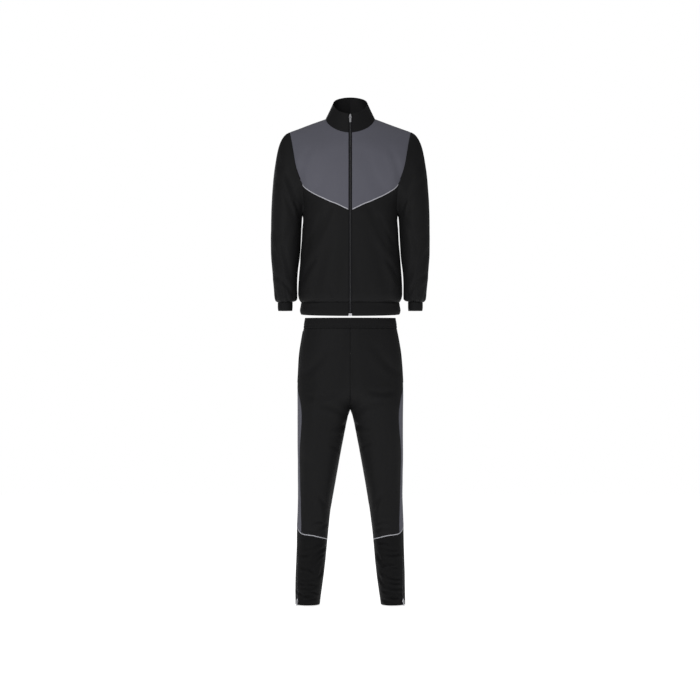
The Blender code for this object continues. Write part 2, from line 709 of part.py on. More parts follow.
def arch_outline(reach, low):
    """Outline of an arch with chamfered shoulders, from its foot to its crown."""
    cut = reach * CHAMFER
    return [(-reach, low), (reach, low), (reach, cut), (cut, reach), (-cut, reach), (-reach, cut)]


def make_zip_head(name, pull_name, point, normal, down, size):
    """A slider with a bridge over its pull, and the pull hanging from the bridge, its origin on its axis."""
    side = np.cross(down, normal)
    plate_x = np.array(SLIDER_PLATE["half_width"], float)
    plate_z = np.array(SLIDER_PLATE["along"], float)
    rings = []
    for lift in (SLIDER_FOOT, SLIDER_TOP):
        shrink = 1.0 if lift == SLIDER_FOOT else SLIDER_TAPER
        for way in (-1, 1):
            rings.append(np.stack([way * plate_x * shrink, plate_z, np.full(len(plate_x), lift)], 1))
    outer = np.stack([rings[2], rings[3]], 1)
    inner = np.stack([rings[0], rings[1]], 1)
    centre = point
    axes = (side, down, normal)
    outer = placed(outer * size, centre, axes)
    inner = placed(inner * size, centre, axes)
    slider = make_sheet(name, outer, inner, False, "zip_metal")

    reach = BRIDGE_HOLE / 2 + BRIDGE_WALL
    frame = arch_outline(reach, SLIDER_TOP - BRIDGE_SINK - PIVOT_LIFT)
    hole = arch_outline(BRIDGE_HOLE / 2, SLIDER_TOP - PIVOT_LIFT)
    points, faces = pierced_plate(frame, hole, BRIDGE_WIDTH)
    pivot = centre + normal * PIVOT_LIFT * size
    bridge = make_mesh(name + "_bridge", placed(points * size, pivot, (down, normal, side)), faces, "zip_metal")
    bridge.hide_render = True
    bridge.display_type = "WIRE"
    union = slider.modifiers.new("bridge", "BOOLEAN")
    union.operation = "UNION"
    union.solver = "EXACT"
    union.object = bridge

    outline = list(zip(PULL["half_width"], PULL["along"]))
    outline += [(-x, y) for x, y in reversed(outline)]
    eye = list(zip(PULL_EYE["half_width"], PULL_EYE["along"]))
    eye += [(-x, y) for x, y in reversed(eye)]
    points, faces = pierced_plate(outline, eye, PULL_WALL)
    pull = make_mesh(pull_name, placed(points * size, np.zeros(3), (side, down, normal)), faces, "zip_metal")
    pull.location = tuple(pivot / 1000.0)


def reset():
    for thing in list(bpy.data.objects):
        bpy.data.objects.remove(thing, do_unlink=True)
    for mesh in list(bpy.data.meshes):
        bpy.data.meshes.remove(mesh)


def make_materials():
    made = {}
    for name, (red, green, blue, roughness, metallic) in COLOURS.items():
        material = bpy.data.materials.new(name)
        material.use_nodes = True
        shader = material.node_tree.nodes["Principled BSDF"]
        shader.inputs["Base Color"].default_value = (red, green, blue, 1)
        shader.inputs["Roughness"].default_value = roughness
        shader.inputs["Metallic"].default_value = metallic
        material.diffuse_color = (red, green, blue, 1)
        made[name] = material
    return made


def jacket_half():
    """Grids of the right half of the jacket body, all seen at x above zero."""
    columns = NECK_COLUMNS + SHOULDER_COLUMNS
    seam = spaced(CHEST_SEAM, columns)
    arm_yoke = spaced(ARMHOLE_YOKE, YOKE_ROWS)
    arm_front = spaced(ARMHOLE_FRONT, ARMPIT_ROWS)
    arm_back = spaced(ARMHOLE_BACK, BACK_ARM_ROWS)
    top = shoulder_z(ARMHOLE_YOKE["x"][-1])
    arm_yoke[-1, 1] = top
    arm_back[-1, 1] = top
    neck = neck_front(NECK_COLUMNS)
    crown = np.concatenate([neck, shoulder_line(SHOULDER_COLUMNS)[1:]])
    rise = np.linspace(seam[0, 1], neck[0, 1], YOKE_ROWS + 1)
    yoke_edge = np.stack([np.full(YOKE_ROWS + 1, ZIP_HALF), rise], 1)
    yoke = body_panel(-1, seam, crown, yoke_edge, arm_yoke)

    side_z = np.array(SIDE_SEAM_Z)
    side = np.stack([along(TORSO, "z", "half_width", side_z), side_z], 1)
    zip_z = np.array(ZIP_EDGE_Z)
    zip_edge = np.stack([np.full(len(zip_z), ZIP_HALF), zip_z], 1)
    outer = np.concatenate([side, arm_front[1:]])
    turn = np.linspace(to_turn(ZIP_HALF, HEM_SEAM_Z), 1, columns + 1)
    hem_z = np.full(columns + 1, HEM_SEAM_Z)
    hem = np.stack([from_turn(turn, hem_z), hem_z], 1)
    front = body_panel(-1, hem, seam, zip_edge, outer)

    outer = np.concatenate([side, arm_back[1:]])
    neck = neck_back(NECK_COLUMNS)
    crown = np.concatenate([neck, shoulder_line(SHOULDER_COLUMNS)[1:]])
    rows = len(outer)
    share = (outer[:, 1] - outer[0, 1]) / (outer[-1, 1] - outer[0, 1])
    middle_z = HEM_SEAM_Z + share * (neck[0, 1] - HEM_SEAM_Z)
    middle = np.stack([np.zeros(rows), middle_z], 1)
    turn = np.linspace(0, 1, columns + 1)
    hem = np.stack([from_turn(turn, hem_z), hem_z], 1)
    back = body_panel(1, hem, crown, middle, outer)
    return yoke, front, back


def whole_back(half):
    return np.concatenate([mirrored(half)[:, :0:-1], half], 1)


def collar_grid(yoke, back):
    """Rings of the stand collar from its seam to its rim, from one zip edge round the neck to the other."""
    front = yoke[-1, : NECK_COLUMNS + 1]
    rear = back[-1, : NECK_COLUMNS + 1]
    half = np.concatenate([front, rear[-2::-1]])
    base = np.concatenate([half, mirrored(half)[-2::-1]])
    front_x = front[:, 0]
    share = (front_x - ZIP_HALF) / (NECK_HALF - ZIP_HALF)
    rim_x = ZIP_HALF + (COLLAR_TOP_HALF - ZIP_HALF) * share
    turn = np.arcsin(np.clip(rim_x / COLLAR_TOP_HALF, 0, 1))
    turn = np.concatenate([turn, math.pi - np.arcsin(np.clip(rear[-2::-1, 0] / NECK_HALF, 0, 1))])
    rim_y = COLLAR_TOP_LEAN - COLLAR_TOP_DEPTH * np.cos(turn)
    rim_z = COLLAR_TOP_Z - COLLAR_TOP_TILT * np.cos(turn) + COLLAR_SIDE_RISE * np.sin(turn) ** 2
    rim_half = np.stack([COLLAR_TOP_HALF * np.sin(turn), rim_y, rim_z], 1)
    rim = np.concatenate([rim_half, mirrored(rim_half)[-2::-1]])
    rows = []
    for share in COLLAR_ROWS:
        ring = base + (rim - base) * share
        ring[0, 0] = ZIP_HALF
        ring[-1, 0] = -ZIP_HALF
        rows.append(ring)
    return np.array(rows)


def band_grid(front, back):
    """Rings of the hem band, from one zip edge round the back to the other."""
    half = np.concatenate([front[0], back[0][-2::-1]])
    top = np.concatenate([half, mirrored(half)[-2::-1]])
    forward = np.clip(-top[:, 1:2] / TORSO["front"][-1], 0, 1)
    bottom_z = BAND_SIDE_Z + (BAND_FRONT_Z - BAND_SIDE_Z) * forward
    rows = []
    for share, swell in zip(BAND_ROWS["share"], BAND_ROWS["swell"]):
        ring = top * np.array([swell, swell, 1.0])
        ring[:, 2:] = top[:, 2:] + (bottom_z - top[:, 2:]) * share
        ring[0, 0] = ZIP_HALF
        ring[-1, 0] = -ZIP_HALF
        rows.append(ring)
    return np.array(rows)


def sleeve_grids(yoke, front, back):
    arm = [yoke[::-1, -1], front[-2 : -ARMPIT_ROWS - 2 : -1, -1], back[-BACK_ARM_ROWS:, -1]]
    loop = np.concatenate(arm)[:-1]
    count = len(loop)
    return tube_rings(SLEEVE, loop, count), tube_rings(CUFF, None, count)


def build_jacket(cloth):
    yoke, front, back = jacket_half()
    collar = collar_grid(yoke, back)
    band = band_grid(front, back)
    sleeve, cuff = sleeve_grids(yoke, front, back)
    cloth.add("jacket_back", whole_back(back), "black_cloth", folds=JACKET_FOLDS)
    cloth.add("collar", collar, "black_cloth", wall=RIB)
    cloth.add("hem_band", band, "black_rib", wall=RIB)
    for side, flip in (("right", lambda grid: grid), ("left", mirrored)):
        cloth.add("yoke_" + side, flip(yoke), "grey_cloth", folds=JACKET_FOLDS)
        cloth.add("jacket_front_" + side, flip(front), "black_cloth", folds=JACKET_FOLDS)
        cloth.add("sleeve_" + side, flip(sleeve), "black_cloth", closed=True, folds=SLEEVE_FOLDS)
        cloth.add("cuff_" + side, flip(cuff), "black_rib", closed=True, wall=RIB)
        tip = flip(np.array([along(TORSO, "z", "half_width", ARMPIT_Z), 0, ARMPIT_Z]))
        ridge = SHOULDER_LEAN * (1 - abs(tip[0]) / ARMHOLE_YOKE["x"][-1])
        cloth.fixed[cloth.key(np.array([tip[0], ridge, ARMPIT_Z]))] = (0, 0, -1)


def leg_samples():
    """Shares across each leg piece that make the pieces above and below the knee seam meet point to point."""
    knee = np.array(KNEE_SAMPLES, float)

    def shares(first, last):
        return (knee[first : last + 1] - knee[first]) / (knee[last] - knee[first])

    end = len(knee) - 1
    return {
        "stripe": shares(0, STRIPE_COLUMNS),
        "front": shares(STRIPE_COLUMNS, end),
        "side": shares(0, SIDE_COLUMNS),
        "shin": shares(SIDE_COLUMNS, end),
        "back": np.linspace(0, 1, LEG_BACK_COLUMNS + 1),
    }


def stripe_front(z):
    return float(along(STRIPE_FRONT, "z", "angle", z)) if z < STRIPE_FRONT["z"][0] else 0.0


def stripe_back(z):
    return float(along(STRIPE_BACK, "z", "angle", z)) if z < STRIPE_BACK["z"][0] else 0.0


def shin_seam(z):
    return float(along(SHIN_SEAM, "z", "angle", z))


def calf_back(z):
    return float(STRIPE_BACK["angle"][-1])


def inseam(z):
    return float(inner_angle(np.array(z)))


def back_inseam(z):
    return -inseam(z)


def build_trousers(cloth):
    samples = leg_samples()
    folds = joined_tables(TROUSER_FOLDS, CALF_FOLDS)
    knee_row = len(HIP_ROWS_Z) + len(THIGH_ROWS) - 1
    last_row = knee_row + len(CALF_ROWS)
    upper = range(knee_row + 1)
    lower = range(knee_row, last_row + 1)
    stripe_rows = range(STRIPE_TOP_ROW, knee_row + 1)
    grids = {
        "trousers_front": (leg_panel(upper, stripe_front, inseam, samples["front"]), "black_cloth"),
        "side_stripe": (leg_panel(stripe_rows, stripe_back, stripe_front, samples["stripe"]), "grey_cloth"),
        "lower_front": (leg_panel(lower, shin_seam, inseam, samples["shin"]), "black_cloth"),
        "lower_side": (leg_panel(lower, calf_back, shin_seam, samples["side"]), "black_cloth"),
    }
    back_top = leg_panel(upper, stripe_back, back_inseam, samples["back"])
    back_low = leg_panel(lower, calf_back, back_inseam, samples["back"])
    grids["trousers_back"] = (np.concatenate([back_top, back_low[1:]]), "black_cloth")
    stripe = grids["side_stripe"][0]
    stripe[0] = stripe[0, 0] + (stripe[1] - stripe[0, 0]) * STRIPE_TIP
    for side, flip in (("right", lambda grid: grid), ("left", mirrored)):
        for name, (grid, material) in grids.items():
            cloth.add(name + "_" + side, flip(grid), material, folds=folds)
    cloth.fixed[cloth.key(np.array([0.0, 0.0, CROTCH_Z]))] = (0, 0, -1)


def joined_tables(one, two):
    return {name: tuple(one[name]) + tuple(two[name]) for name in one}


def waistband_grid():
    """Rings of the waistband, each gather a ridge and a valley of its outer face."""
    count = GATHERS * 2
    turn = np.linspace(0, 2 * math.pi, count, endpoint=False)
    rows = []
    for z, half, front, back in zip(*[WAISTBAND[name] for name in ("z", "half_width", "front", "back")]):
        cosine = np.cos(turn)
        sine = np.sin(turn)
        x = half * np.sign(cosine) * np.abs(cosine) ** (2 / LEG_POWER)
        depth = np.where(sine > 0, front, back)
        y = -depth * np.sign(sine) * np.abs(sine) ** (2 / LEG_POWER)
        rows.append(np.stack([x, y, np.full(count, z)], 1))
    return np.array(rows)


def build_waistband():
    grid = waistband_grid()
    normal = normals_of(grid, True)
    if np.mean(normal[..., 0] * grid[..., 0]) < 0:
        normal = -normal
    count = grid.shape[1]
    uneven = 1 - GATHER_UNEVEN + GATHER_UNEVEN * np.sin(np.arange(count) * GATHER_DRIFT)
    ridge = np.where(np.arange(count) % 2 == 0, GATHER_HEIGHT, 0.0) * uneven
    share = np.array(WAISTBAND["gather"])[:, None]
    outer = grid + normal * (SHELL / 2 + ridge[None, :] * share)[..., None]
    inner = grid - normal * (SHELL / 2)
    outer[..., 2] = grid[..., 2]
    inner[..., 2] = grid[..., 2]
    make_sheet("waistband", outer, inner, True, "black_rib")


def zip_line(cloth):
    """Line of the front zip from the collar rim to the hem, between its two edges, with its normals."""
    points = []
    normals = []
    for name in ("collar", "yoke", "jacket_front", "hem_band"):
        sides = ("right", "left") if name in ("yoke", "jacket_front") else ("", "")
        ends = (ZIP_HALF, -ZIP_HALF)
        edge = 0.0
        turn = 0.0
        for side, x in zip(sides, ends):
            piece = cloth.pieces[name + "_" + side if side else name]
            line, normal = edge_of(piece, lambda point: abs(point[0] - x))
            if line[0, 2] < line[-1, 2]:
                line = line[::-1]
                normal = normal[::-1]
            edge = edge + line / 2
            turn = turn + normal / 2
        skip = 1 if points else 0
        points += list(edge[skip:])
        normals += list(turn[skip:])
    points = np.array(points)
    normals = np.array(normals)
    points[:, 0] = 0
    normals[:, 0] = 0
    return points, normals / np.linalg.norm(normals, axis=1, keepdims=True)


def build_front_zip(cloth):
    line, normal = zip_line(cloth)
    line = drawn_in(line, ZIP_END_INSET, ZIP_END_INSET)
    right = np.array([1.0, 0.0, 0.0])
    for name, start, stop, lift, wall, material in (
        ("zip_tape_right", CHAIN_HALF + LAY_GAP, TAPE_EDGE, 0.0, TAPE_WALL, "zip_tape"),
        ("zip_tape_left", -TAPE_EDGE, -CHAIN_HALF - LAY_GAP, 0.0, TAPE_WALL, "zip_tape"),
        ("zip_chain", -CHAIN_HALF, CHAIN_HALF, TEETH_LIFT, TEETH_WALL, "zip_teeth"),
    ):
        grid = np.stack([line + right * start, line + right * stop], 1) + normal[:, None] * lift
        half = normal[:, None] * wall / 2
        make_sheet(name, grid + half, grid - half, False, material)
    top = np.interp(FRONT_HEAD_Z, line[::-1, 2], np.arange(len(line))[::-1])
    first = int(top)
    share = top - first
    point = line[first] + (line[first + 1] - line[first]) * share
    down = line[first + 1] - line[first]
    down = down / np.linalg.norm(down)
    out = np.array([0.0, down[2], -down[1]])
    make_zip_head("zip_slider", "zip_pull", point, out, down, 1.0)
    down = line[-1] - line[-2]
    down = down / np.linalg.norm(down)
    out = np.array([0.0, down[2], -down[1]])
    foot = line[-1] + out * SLIDER_FOOT
    box = []
    for lift in (0.0, BOX_WALL):
        for back in (0.0, BOX_HEIGHT):
            box.append([foot - down * back + out * lift + right * x for x in (-BOX_HALF, BOX_HALF)])
    box = np.array(box)
    make_sheet("zip_box", box[2:], box[:2], False, "zip_metal")


def build_piping(cloth, side):
    yoke = cloth.pieces["yoke_" + side]
    line, normal = row_of(yoke, 0, lambda point: abs(point[0]))
    way = across_way(line, normal)
    line = drawn_in(line, *PIPING_INSET)
    lift = SHELL / 2 + PIPING_LIFT
    ribbon("yoke_piping_" + side, line, normal, way, PIPING_WIDTH / 2, lift, PIPING_HEIGHT, "light_piping")


def build_leg_trim(cloth, side):
    outer = cloth.pieces["lower_side_" + side]
    shin = cloth.pieces["lower_front_" + side]
    first, first_normal = row_of(outer, 0, lambda point: -point[1])
    second, second_normal = row_of(shin, 0, lambda point: -abs(point[0]))
    line = np.concatenate([first, second[1:]])
    normal = np.concatenate([first_normal, second_normal[1:]])
    way = across_way(line, normal)
    line = drawn_in(line, KNEE_INSET, KNEE_INSET)
    ribbon("knee_piping_" + side, line, normal, way, KNEE_PIPING_WIDTH / 2, SHELL / 2 + LAY_GAP, PIPING_HEIGHT,
           "light_piping")

    seam, normal = edge_of(shin, lambda point: -abs(point[0]))
    keep = seam[:, 2] < ANKLE_ZIP_TOP_Z
    line = drawn_in(seam[keep], 0.0, 1.0)
    normal = normal[keep]
    way = across_way(line, normal)
    lift = SHELL / 2 + LAY_GAP
    ribbon("ankle_zip_" + side, line, normal, way, ANKLE_TAPE_HALF, lift, ANKLE_ZIP_WALL, "zip_teeth")
    share = np.interp(ANKLE_HEAD_Z, seam[::-1, 2], np.arange(len(seam))[::-1])
    row = min(int(share), len(seam) - 2)
    point = seam[row] + (seam[row + 1] - seam[row]) * (share - row)
    out = normal[-1] * np.array([1.0, 1.0, 0.0])
    out = out / np.linalg.norm(out)
    point = point + out * (lift + ANKLE_ZIP_WALL + ANKLE_HEAD_GAP - SLIDER_FOOT * ANKLE_SIZE)
    down = np.array([0.0, 0.0, -1.0])
    make_zip_head("ankle_slider_" + side, "ankle_pull_" + side, point, out, down, ANKLE_SIZE)

    front = cloth.pieces["trousers_front_" + side]
    edge, _ = edge_of(front, lambda point: -abs(point[0]))
    flip = not np.allclose(front["grid"][0, 0], edge[0])
    outer_points, _ = cloth.walls(front)
    normal = front["normal"]
    if flip:
        outer_points = outer_points[:, ::-1]
        normal = normal[:, ::-1]
    rows = np.flatnonzero((edge[:, 2] < POCKET_TOP_Z) & (edge[:, 2] > POCKET_BOTTOM_Z))
    near = outer_points[rows, 0]
    ahead = outer_points[rows, 1] - near
    width = np.linalg.norm(ahead, axis=1, keepdims=True)
    base = np.stack([near + ahead / width * POCKET_START, near + ahead / width * POCKET_EDGE], 1)
    out = np.stack([normal[rows, 0], normal[rows, 1]], 1)
    make_sheet("pocket_welt_" + side, base + out * (LAY_GAP + POCKET_WALL), base + out * LAY_GAP, False,
               "black_cloth")


reset()
materials = make_materials()
jacket = Cloth()
build_jacket(jacket)
jacket.settle()
jacket.build()
build_front_zip(jacket)
trousers = Cloth()
build_trousers(trousers)
trousers.settle()
trousers.build()
build_waistband()
for side in ("left", "right"):
    build_piping(jacket, side)
    build_leg_trim(trousers, side)
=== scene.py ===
"""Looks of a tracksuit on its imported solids: thin cloth shells on the same forms, with folds and seams."""

import math

import bpy
import numpy as np
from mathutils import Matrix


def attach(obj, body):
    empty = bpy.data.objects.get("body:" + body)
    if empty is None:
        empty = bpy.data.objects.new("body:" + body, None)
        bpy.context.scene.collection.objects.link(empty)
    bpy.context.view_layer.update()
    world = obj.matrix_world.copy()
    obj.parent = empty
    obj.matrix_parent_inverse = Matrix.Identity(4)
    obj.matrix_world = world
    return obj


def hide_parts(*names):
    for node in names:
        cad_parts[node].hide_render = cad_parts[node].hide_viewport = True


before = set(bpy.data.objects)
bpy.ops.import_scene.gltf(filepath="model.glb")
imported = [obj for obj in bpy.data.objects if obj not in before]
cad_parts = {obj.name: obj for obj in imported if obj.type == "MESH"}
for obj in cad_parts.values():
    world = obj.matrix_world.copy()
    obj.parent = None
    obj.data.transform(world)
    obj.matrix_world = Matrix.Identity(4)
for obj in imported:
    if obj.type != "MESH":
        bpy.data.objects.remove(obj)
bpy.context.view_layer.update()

bl_info = {
    "name": "Tracksuit",
    "version": (1, 0, 0),
    "blender": (4, 5, 0),
    "location": "View3D > Sidebar > Tracksuit",
    "description": "Builds a zipped jacket and trousers as cloth shells on their solids",
    "category": "Object",
}

BODY = "suit"

# Forms, in millimetres, the same as the solids
SECTION_POWER = 2.3
SHOULDER_TOP = 36.0
SHOULDER_SLOPE = 0.37
SHOULDER_LEAN = 8.0
FRONT_ROUNDING = 130.0
BACK_ROUNDING = 110.0
NECK_HALF = 88.0
NECK_FRONT_DROP = 55.4
NECK_POWER = 1.8
NECK_BACK_RISE = 8.6
NECK_BACK_DIP = 5.0
ZIP_HALF = 6.3
TAPE_EDGE = 6.15
CHAIN_HALF = 2.3
ARMPIT_Z = -342.4
HEM_SEAM_Z = -657.5
BAND_SIDE_Z = -699.0
BAND_FRONT_Z = -707.0
COLLAR_TOP_HALF = 61.0
COLLAR_TOP_DEPTH = 66.0
COLLAR_TOP_LEAN = 6.0
COLLAR_TOP_Z = 53.0
COLLAR_TOP_TILT = 36.0
COLLAR_SIDE_RISE = 5.0
CROTCH_Z = -1038.6
MERGE_HEIGHT = 140.0
ANKLE_Z = -1742.0
LEG_POWER = 2.15

# Grid steps of the solids, which these finer grids keep to
NECK_COLUMNS = 5
SHOULDER_COLUMNS = 4
BODY_COLUMNS = NECK_COLUMNS + SHOULDER_COLUMNS
YOKE_ROWS = 6
SIDE_ROWS = 8
ARMPIT_ROWS = 4
BACK_ARM_ROWS = YOKE_ROWS + ARMPIT_ROWS
SLEEVE_COLUMNS = YOKE_ROWS + ARMPIT_ROWS + BACK_ARM_ROWS
LEG_BACK_COLUMNS = 8
KNEE_SAMPLES = (-35, -15, 5, 26, 45, 62, 79, 96, 113, 130, 147, 163, 180)
STRIPE_COLUMNS = 4
SIDE_COLUMNS = 3
HIP_ROWS = 7
KNEE_ROW = 17
LAST_ROW = 30
STRIPE_TOP_ROW = 5
STRIPE_TIP = 0.06

TORSO = {
    "z": (40, -47, -108, -162, -198, -241, -270, -306, -342.4, -352.8, -396, -440, -483, -526, -569,
          -612, -636, -649, -657.5),
    "half_width": (226, 226, 226, 222, 212, 196, 183, 172.5, 170.6, 169.4, 172.1, 174.1, 177.7, 180.7,
                   184.5, 186.6, 185.6, 181.3, 175.4),
    "front": (70, 82, 98, 110, 116, 121, 124, 127, 128, 128, 128, 127, 126, 125, 124, 122, 120, 116, 110),
    "back": (86, 100, 112, 117, 119, 120, 120, 120, 119, 119, 118, 117, 117, 118, 119, 119, 117, 113, 108),
}
CHEST_SEAM = {
    "x": (6.3, 21.6, 46.5, 71.3, 96.2, 121.5, 146.5, 161.7, 168.5, 170.7),
    "z": (-329.5, -322.3, -309.9, -300.0, -288.1, -276.2, -260.7, -248.7, -240.5, -232.3),
}
ARMHOLE_YOKE = {
    "x": (170.7, 182.0, 194.6, 202.0, 210.2, 218.0),
    "z": (-232.3, -207.3, -167.4, -127.0, -79.4, -44.66),
}
ARMHOLE_FRONT = {
    "x": (170.6, 166.6, 165.2, 167.0, 170.7),
    "z": (-342.4, -330.0, -295.0, -263.0, -232.3),
}
ARMHOLE_BACK = {
    "x": (170.6, 170.0, 175.0, 185.0, 195.0, 204.0, 211.0, 218.0),
    "z": (-342.4, -325.0, -285.0, -235.0, -185.0, -135.0, -88.0, -44.66),
}
SIDE_SEAM_Z = (-657.5, -649.0, -636.0, -600.0, -540.0, -475.0, -408.0, -352.8, -342.4)
ZIP_EDGE_Z = (-657.5, -649.0, -636.0, -600.0, -552.0, -508.0, -470.0, -438.0, -410.0, -385.0, -364.0,
              -346.0, -329.5)
SLEEVE = {
    "row": tuple(range(18)),
    "outer_x": (218, 233, 246, 257.5, 267, 275.2, 280.5, 283.6, 285, 285.2, 284, 280.5, 277, 273.5, 271.5,
                269.0, 264.0, 259.2),
    "outer_z": (-44.66, -54, -72, -101, -144, -200, -262, -330, -395, -440, -490, -540, -582, -616, -637,
                -649, -654.5, -656.5),
    "inner_x": (170.6, 172.0, 173.0, 173.7, 174.2, 174.6, 175.0, 175.5, 177.0, 179.2, 182.5, 188.2, 191,
                191.2, 191.2, 192.2, 198.5, 208.4),
    "inner_z": (-342.4, -344.5, -347.5, -351.5, -357, -362.5, -369, -378, -410, -450, -495, -540, -580,
                -613, -635, -646, -651.5, -654.0),
    "half_depth": (66, 67, 69, 70.5, 72, 72.5, 72.5, 72, 71, 68, 64, 60, 57, 54, 51.5, 48, 42, 31),
    "centre_y": (0, 0, 0, 0, 0, 0, 0, 0, -1, -3, -6, -9, -12, -14, -15, -16, -16, -16),
    "tube": (0, 0.1, 0.22, 0.38, 0.56, 0.75, 0.9, 1, 1, 1, 1, 1, 1, 1, 1, 1, 1, 1),
}
CUFF = {
    "row": (0, 1, 2),
    "outer_x": (259.2, 259.6, 258.0),
    "outer_z": (-656.5, -675.0, -687.5),
    "inner_x": (208.4, 208.2, 209.4),
    "inner_z": (-654.0, -674.0, -687.5),
    "half_depth": (31, 31.5, 30.5),
    "centre_y": (-16, -16.5, -17),
    "tube": (1, 1, 1),
}
LEG = {
    "z": (-750, -777.6, -806, -835.2, -892.8, -950.4, -1038.6, -1065.6, -1123.2, -1180.8, -1238.4, -1296,
          -1353.6, -1411.2, -1440, -1468.8, -1526.4, -1584, -1641.6, -1699.2, -1742),
    "outer": (166, 171.5, 176.5, 181.4, 186.4, 189, 189, 189, 189, 188.8, 188.4, 187.7, 187.2, 189.3,
              190.8, 191.6, 192.2, 193.8, 196, 197.1, 197.1),
    "gap": (0, 0, 0, 0, 0, 0, 0, 9.5, 21.6, 32.4, 42.9, 53.3, 63.4, 72.7, 76.2, 79.6, 84.9, 89.9, 96.9,
            104.9, 111),
    "front": (98, 101, 103, 105, 107, 107, 103, 101, 97, 92, 86, 80, 76, 73, 71.5, 70, 66, 62, 58, 54, 52),
    "back": (102, 110, 118, 125, 133, 136, 124, 117, 106, 98, 91, 85, 80, 77, 77, 77, 76, 73, 67, 60, 56),
}
HIP_ROWS_Z = (-750.0, -790.0, -832.0, -874.0, -915.0, -956.0, -997.0, -1038.6)
THIGH_SHARES = (0.0, 0.025, 0.10, 0.21, 0.33, 0.45, 0.57, 0.69, 0.80, 0.90, 1.0)
CALF_SHARES = (0.0, 0.05, 0.13, 0.21, 0.30, 0.38, 0.46, 0.54, 0.62, 0.70, 0.78, 0.86, 0.93, 1.0)
KNEE_SEAM = {
    "angle": (-180, -135, -90, -35, -20, 0, 20, 45, 90, 135, 180),
    "z": (-1509.5, -1475, -1442, -1428, -1438, -1456.2, -1468.7, -1482.7, -1490, -1500.6, -1509.5),
}
STRIPE_FRONT = {"z": (-956, -979, -1224, -1332, -1454), "angle": (0, 13, 26, 31, 45)}
STRIPE_BACK = {"z": (-956, -979, -1224, -1332, -1428), "angle": (0, -11, -24, -29, -35)}
SHIN_SEAM = {"z": (-1470, -1584, -1742), "angle": (26, 32, 42)}
WAISTBAND = {
    "z": (-713.0, -741.0, -749.5),
    "half_width": (161.0, 165.6, 166.2),
    "front": (95.0, 97.5, 98.0),
    "back": (99.0, 101.5, 102.0),
}
BAND = {"share": (0.0, 0.3, 0.8, 1.0), "swell": (1.0, 1.012, 1.022, 1.004)}

# Seams: how deep the cloth sinks into one, how far that reaches, and the swell beside it
SEAM_GAP = 0.04
DITCH_DEPTH = 0.9
DITCH_REACH = 1.5
SWELL_HEIGHT = 0.35
SWELL_PLACE = 4.5
SWELL_REACH = 2.6

# Folds seen from the front or from behind. Each row: x and z of both ends of a line, its sideways bow,
# its reach across, its depth (minus is a trough) and the share of the depth that stands up as a ridge
JACKET_FRONT_FOLDS = (
    (78, -332, 150, -474, 6, 14, -3.6, 0.6),
    (106, -356, 160, -450, 4, 11, -2.8, 0.6),
    (138, -514, 174, -584, -4, 11, -3.4, 0.6),
    (150, -400, 172, -520, 3, 12, -2.4, 0.4),
    (44, -345, 84, -600, 8, 22, 2.2, 0.0),
    (96, -470, 130, -640, -6, 16, -2.4, 0.5),
    (20, -500, 40, -650, 3, 14, -1.6, 0.3),
    (96, -652, 154, -655, 0, 5, -2.6, 0.5),
    (60, -640, 72, -600, 2, 7, -1.8, 0.5),
    (128, -640, 140, -590, 2, 7, -1.8, 0.5),
    (-78, -330, -152, -468, -6, 14, -3.6, 0.6),
    (-106, -352, -158, -446, -4, 11, -2.8, 0.6),
    (-135, -512, -175, -586, 4, 11, -3.4, 0.6),
    (-148, -396, -171, -512, -3, 12, -2.4, 0.4),
    (-46, -350, -80, -610, -8, 22, 2.2, 0.0),
    (-92, -476, -122, -636, 6, 16, -2.4, 0.5),
    (-22, -520, -44, -650, -3, 14, -1.6, 0.3),
    (-102, -652, -152, -655, 0, 5, -2.6, 0.5),
    (-56, -642, -70, -604, -2, 7, -1.8, 0.5),
    (-120, -642, -134, -596, -2, 7, -1.8, 0.5),
    (64, -150, 140, -286, 10, 26, -2.2, 0.3),
    (-68, -146, -142, -282, -10, 26, -2.2, 0.3),
    (150, -120, 176, -220, -6, 14, -2.0, 0.5),
    (-152, -116, -178, -216, 6, 14, -2.0, 0.5),
)
JACKET_BACK_FOLDS = (
    (0, -120, 0, -330, 0, 34, -2.4, 0.2),
    (150, -260, 90, -420, 12, 18, -3.0, 0.6),
    (-148, -256, -92, -410, -12, 18, -3.0, 0.6),
    (160, -330, 118, -470, 8, 13, -2.6, 0.6),
    (-158, -326, -116, -476, -8, 13, -2.6, 0.6),
    (-120, -540, 110, -560, 14, 18, -2.8, 0.5),
    (-140, -606, -20, -622, 8, 12, -2.4, 0.6),
    (10, -616, 146, -600, 8, 12, -2.4, 0.6),
    (60, -80, 150, -110, -10, 20, -2.2, 0.4),
    (-62, -78, -150, -106, 10, 20, -2.2, 0.4),
    (-40, -655, -90, -620, 2, 7, -1.8, 0.5),
    (36, -655, 84, -616, -2, 7, -1.8, 0.5),
)
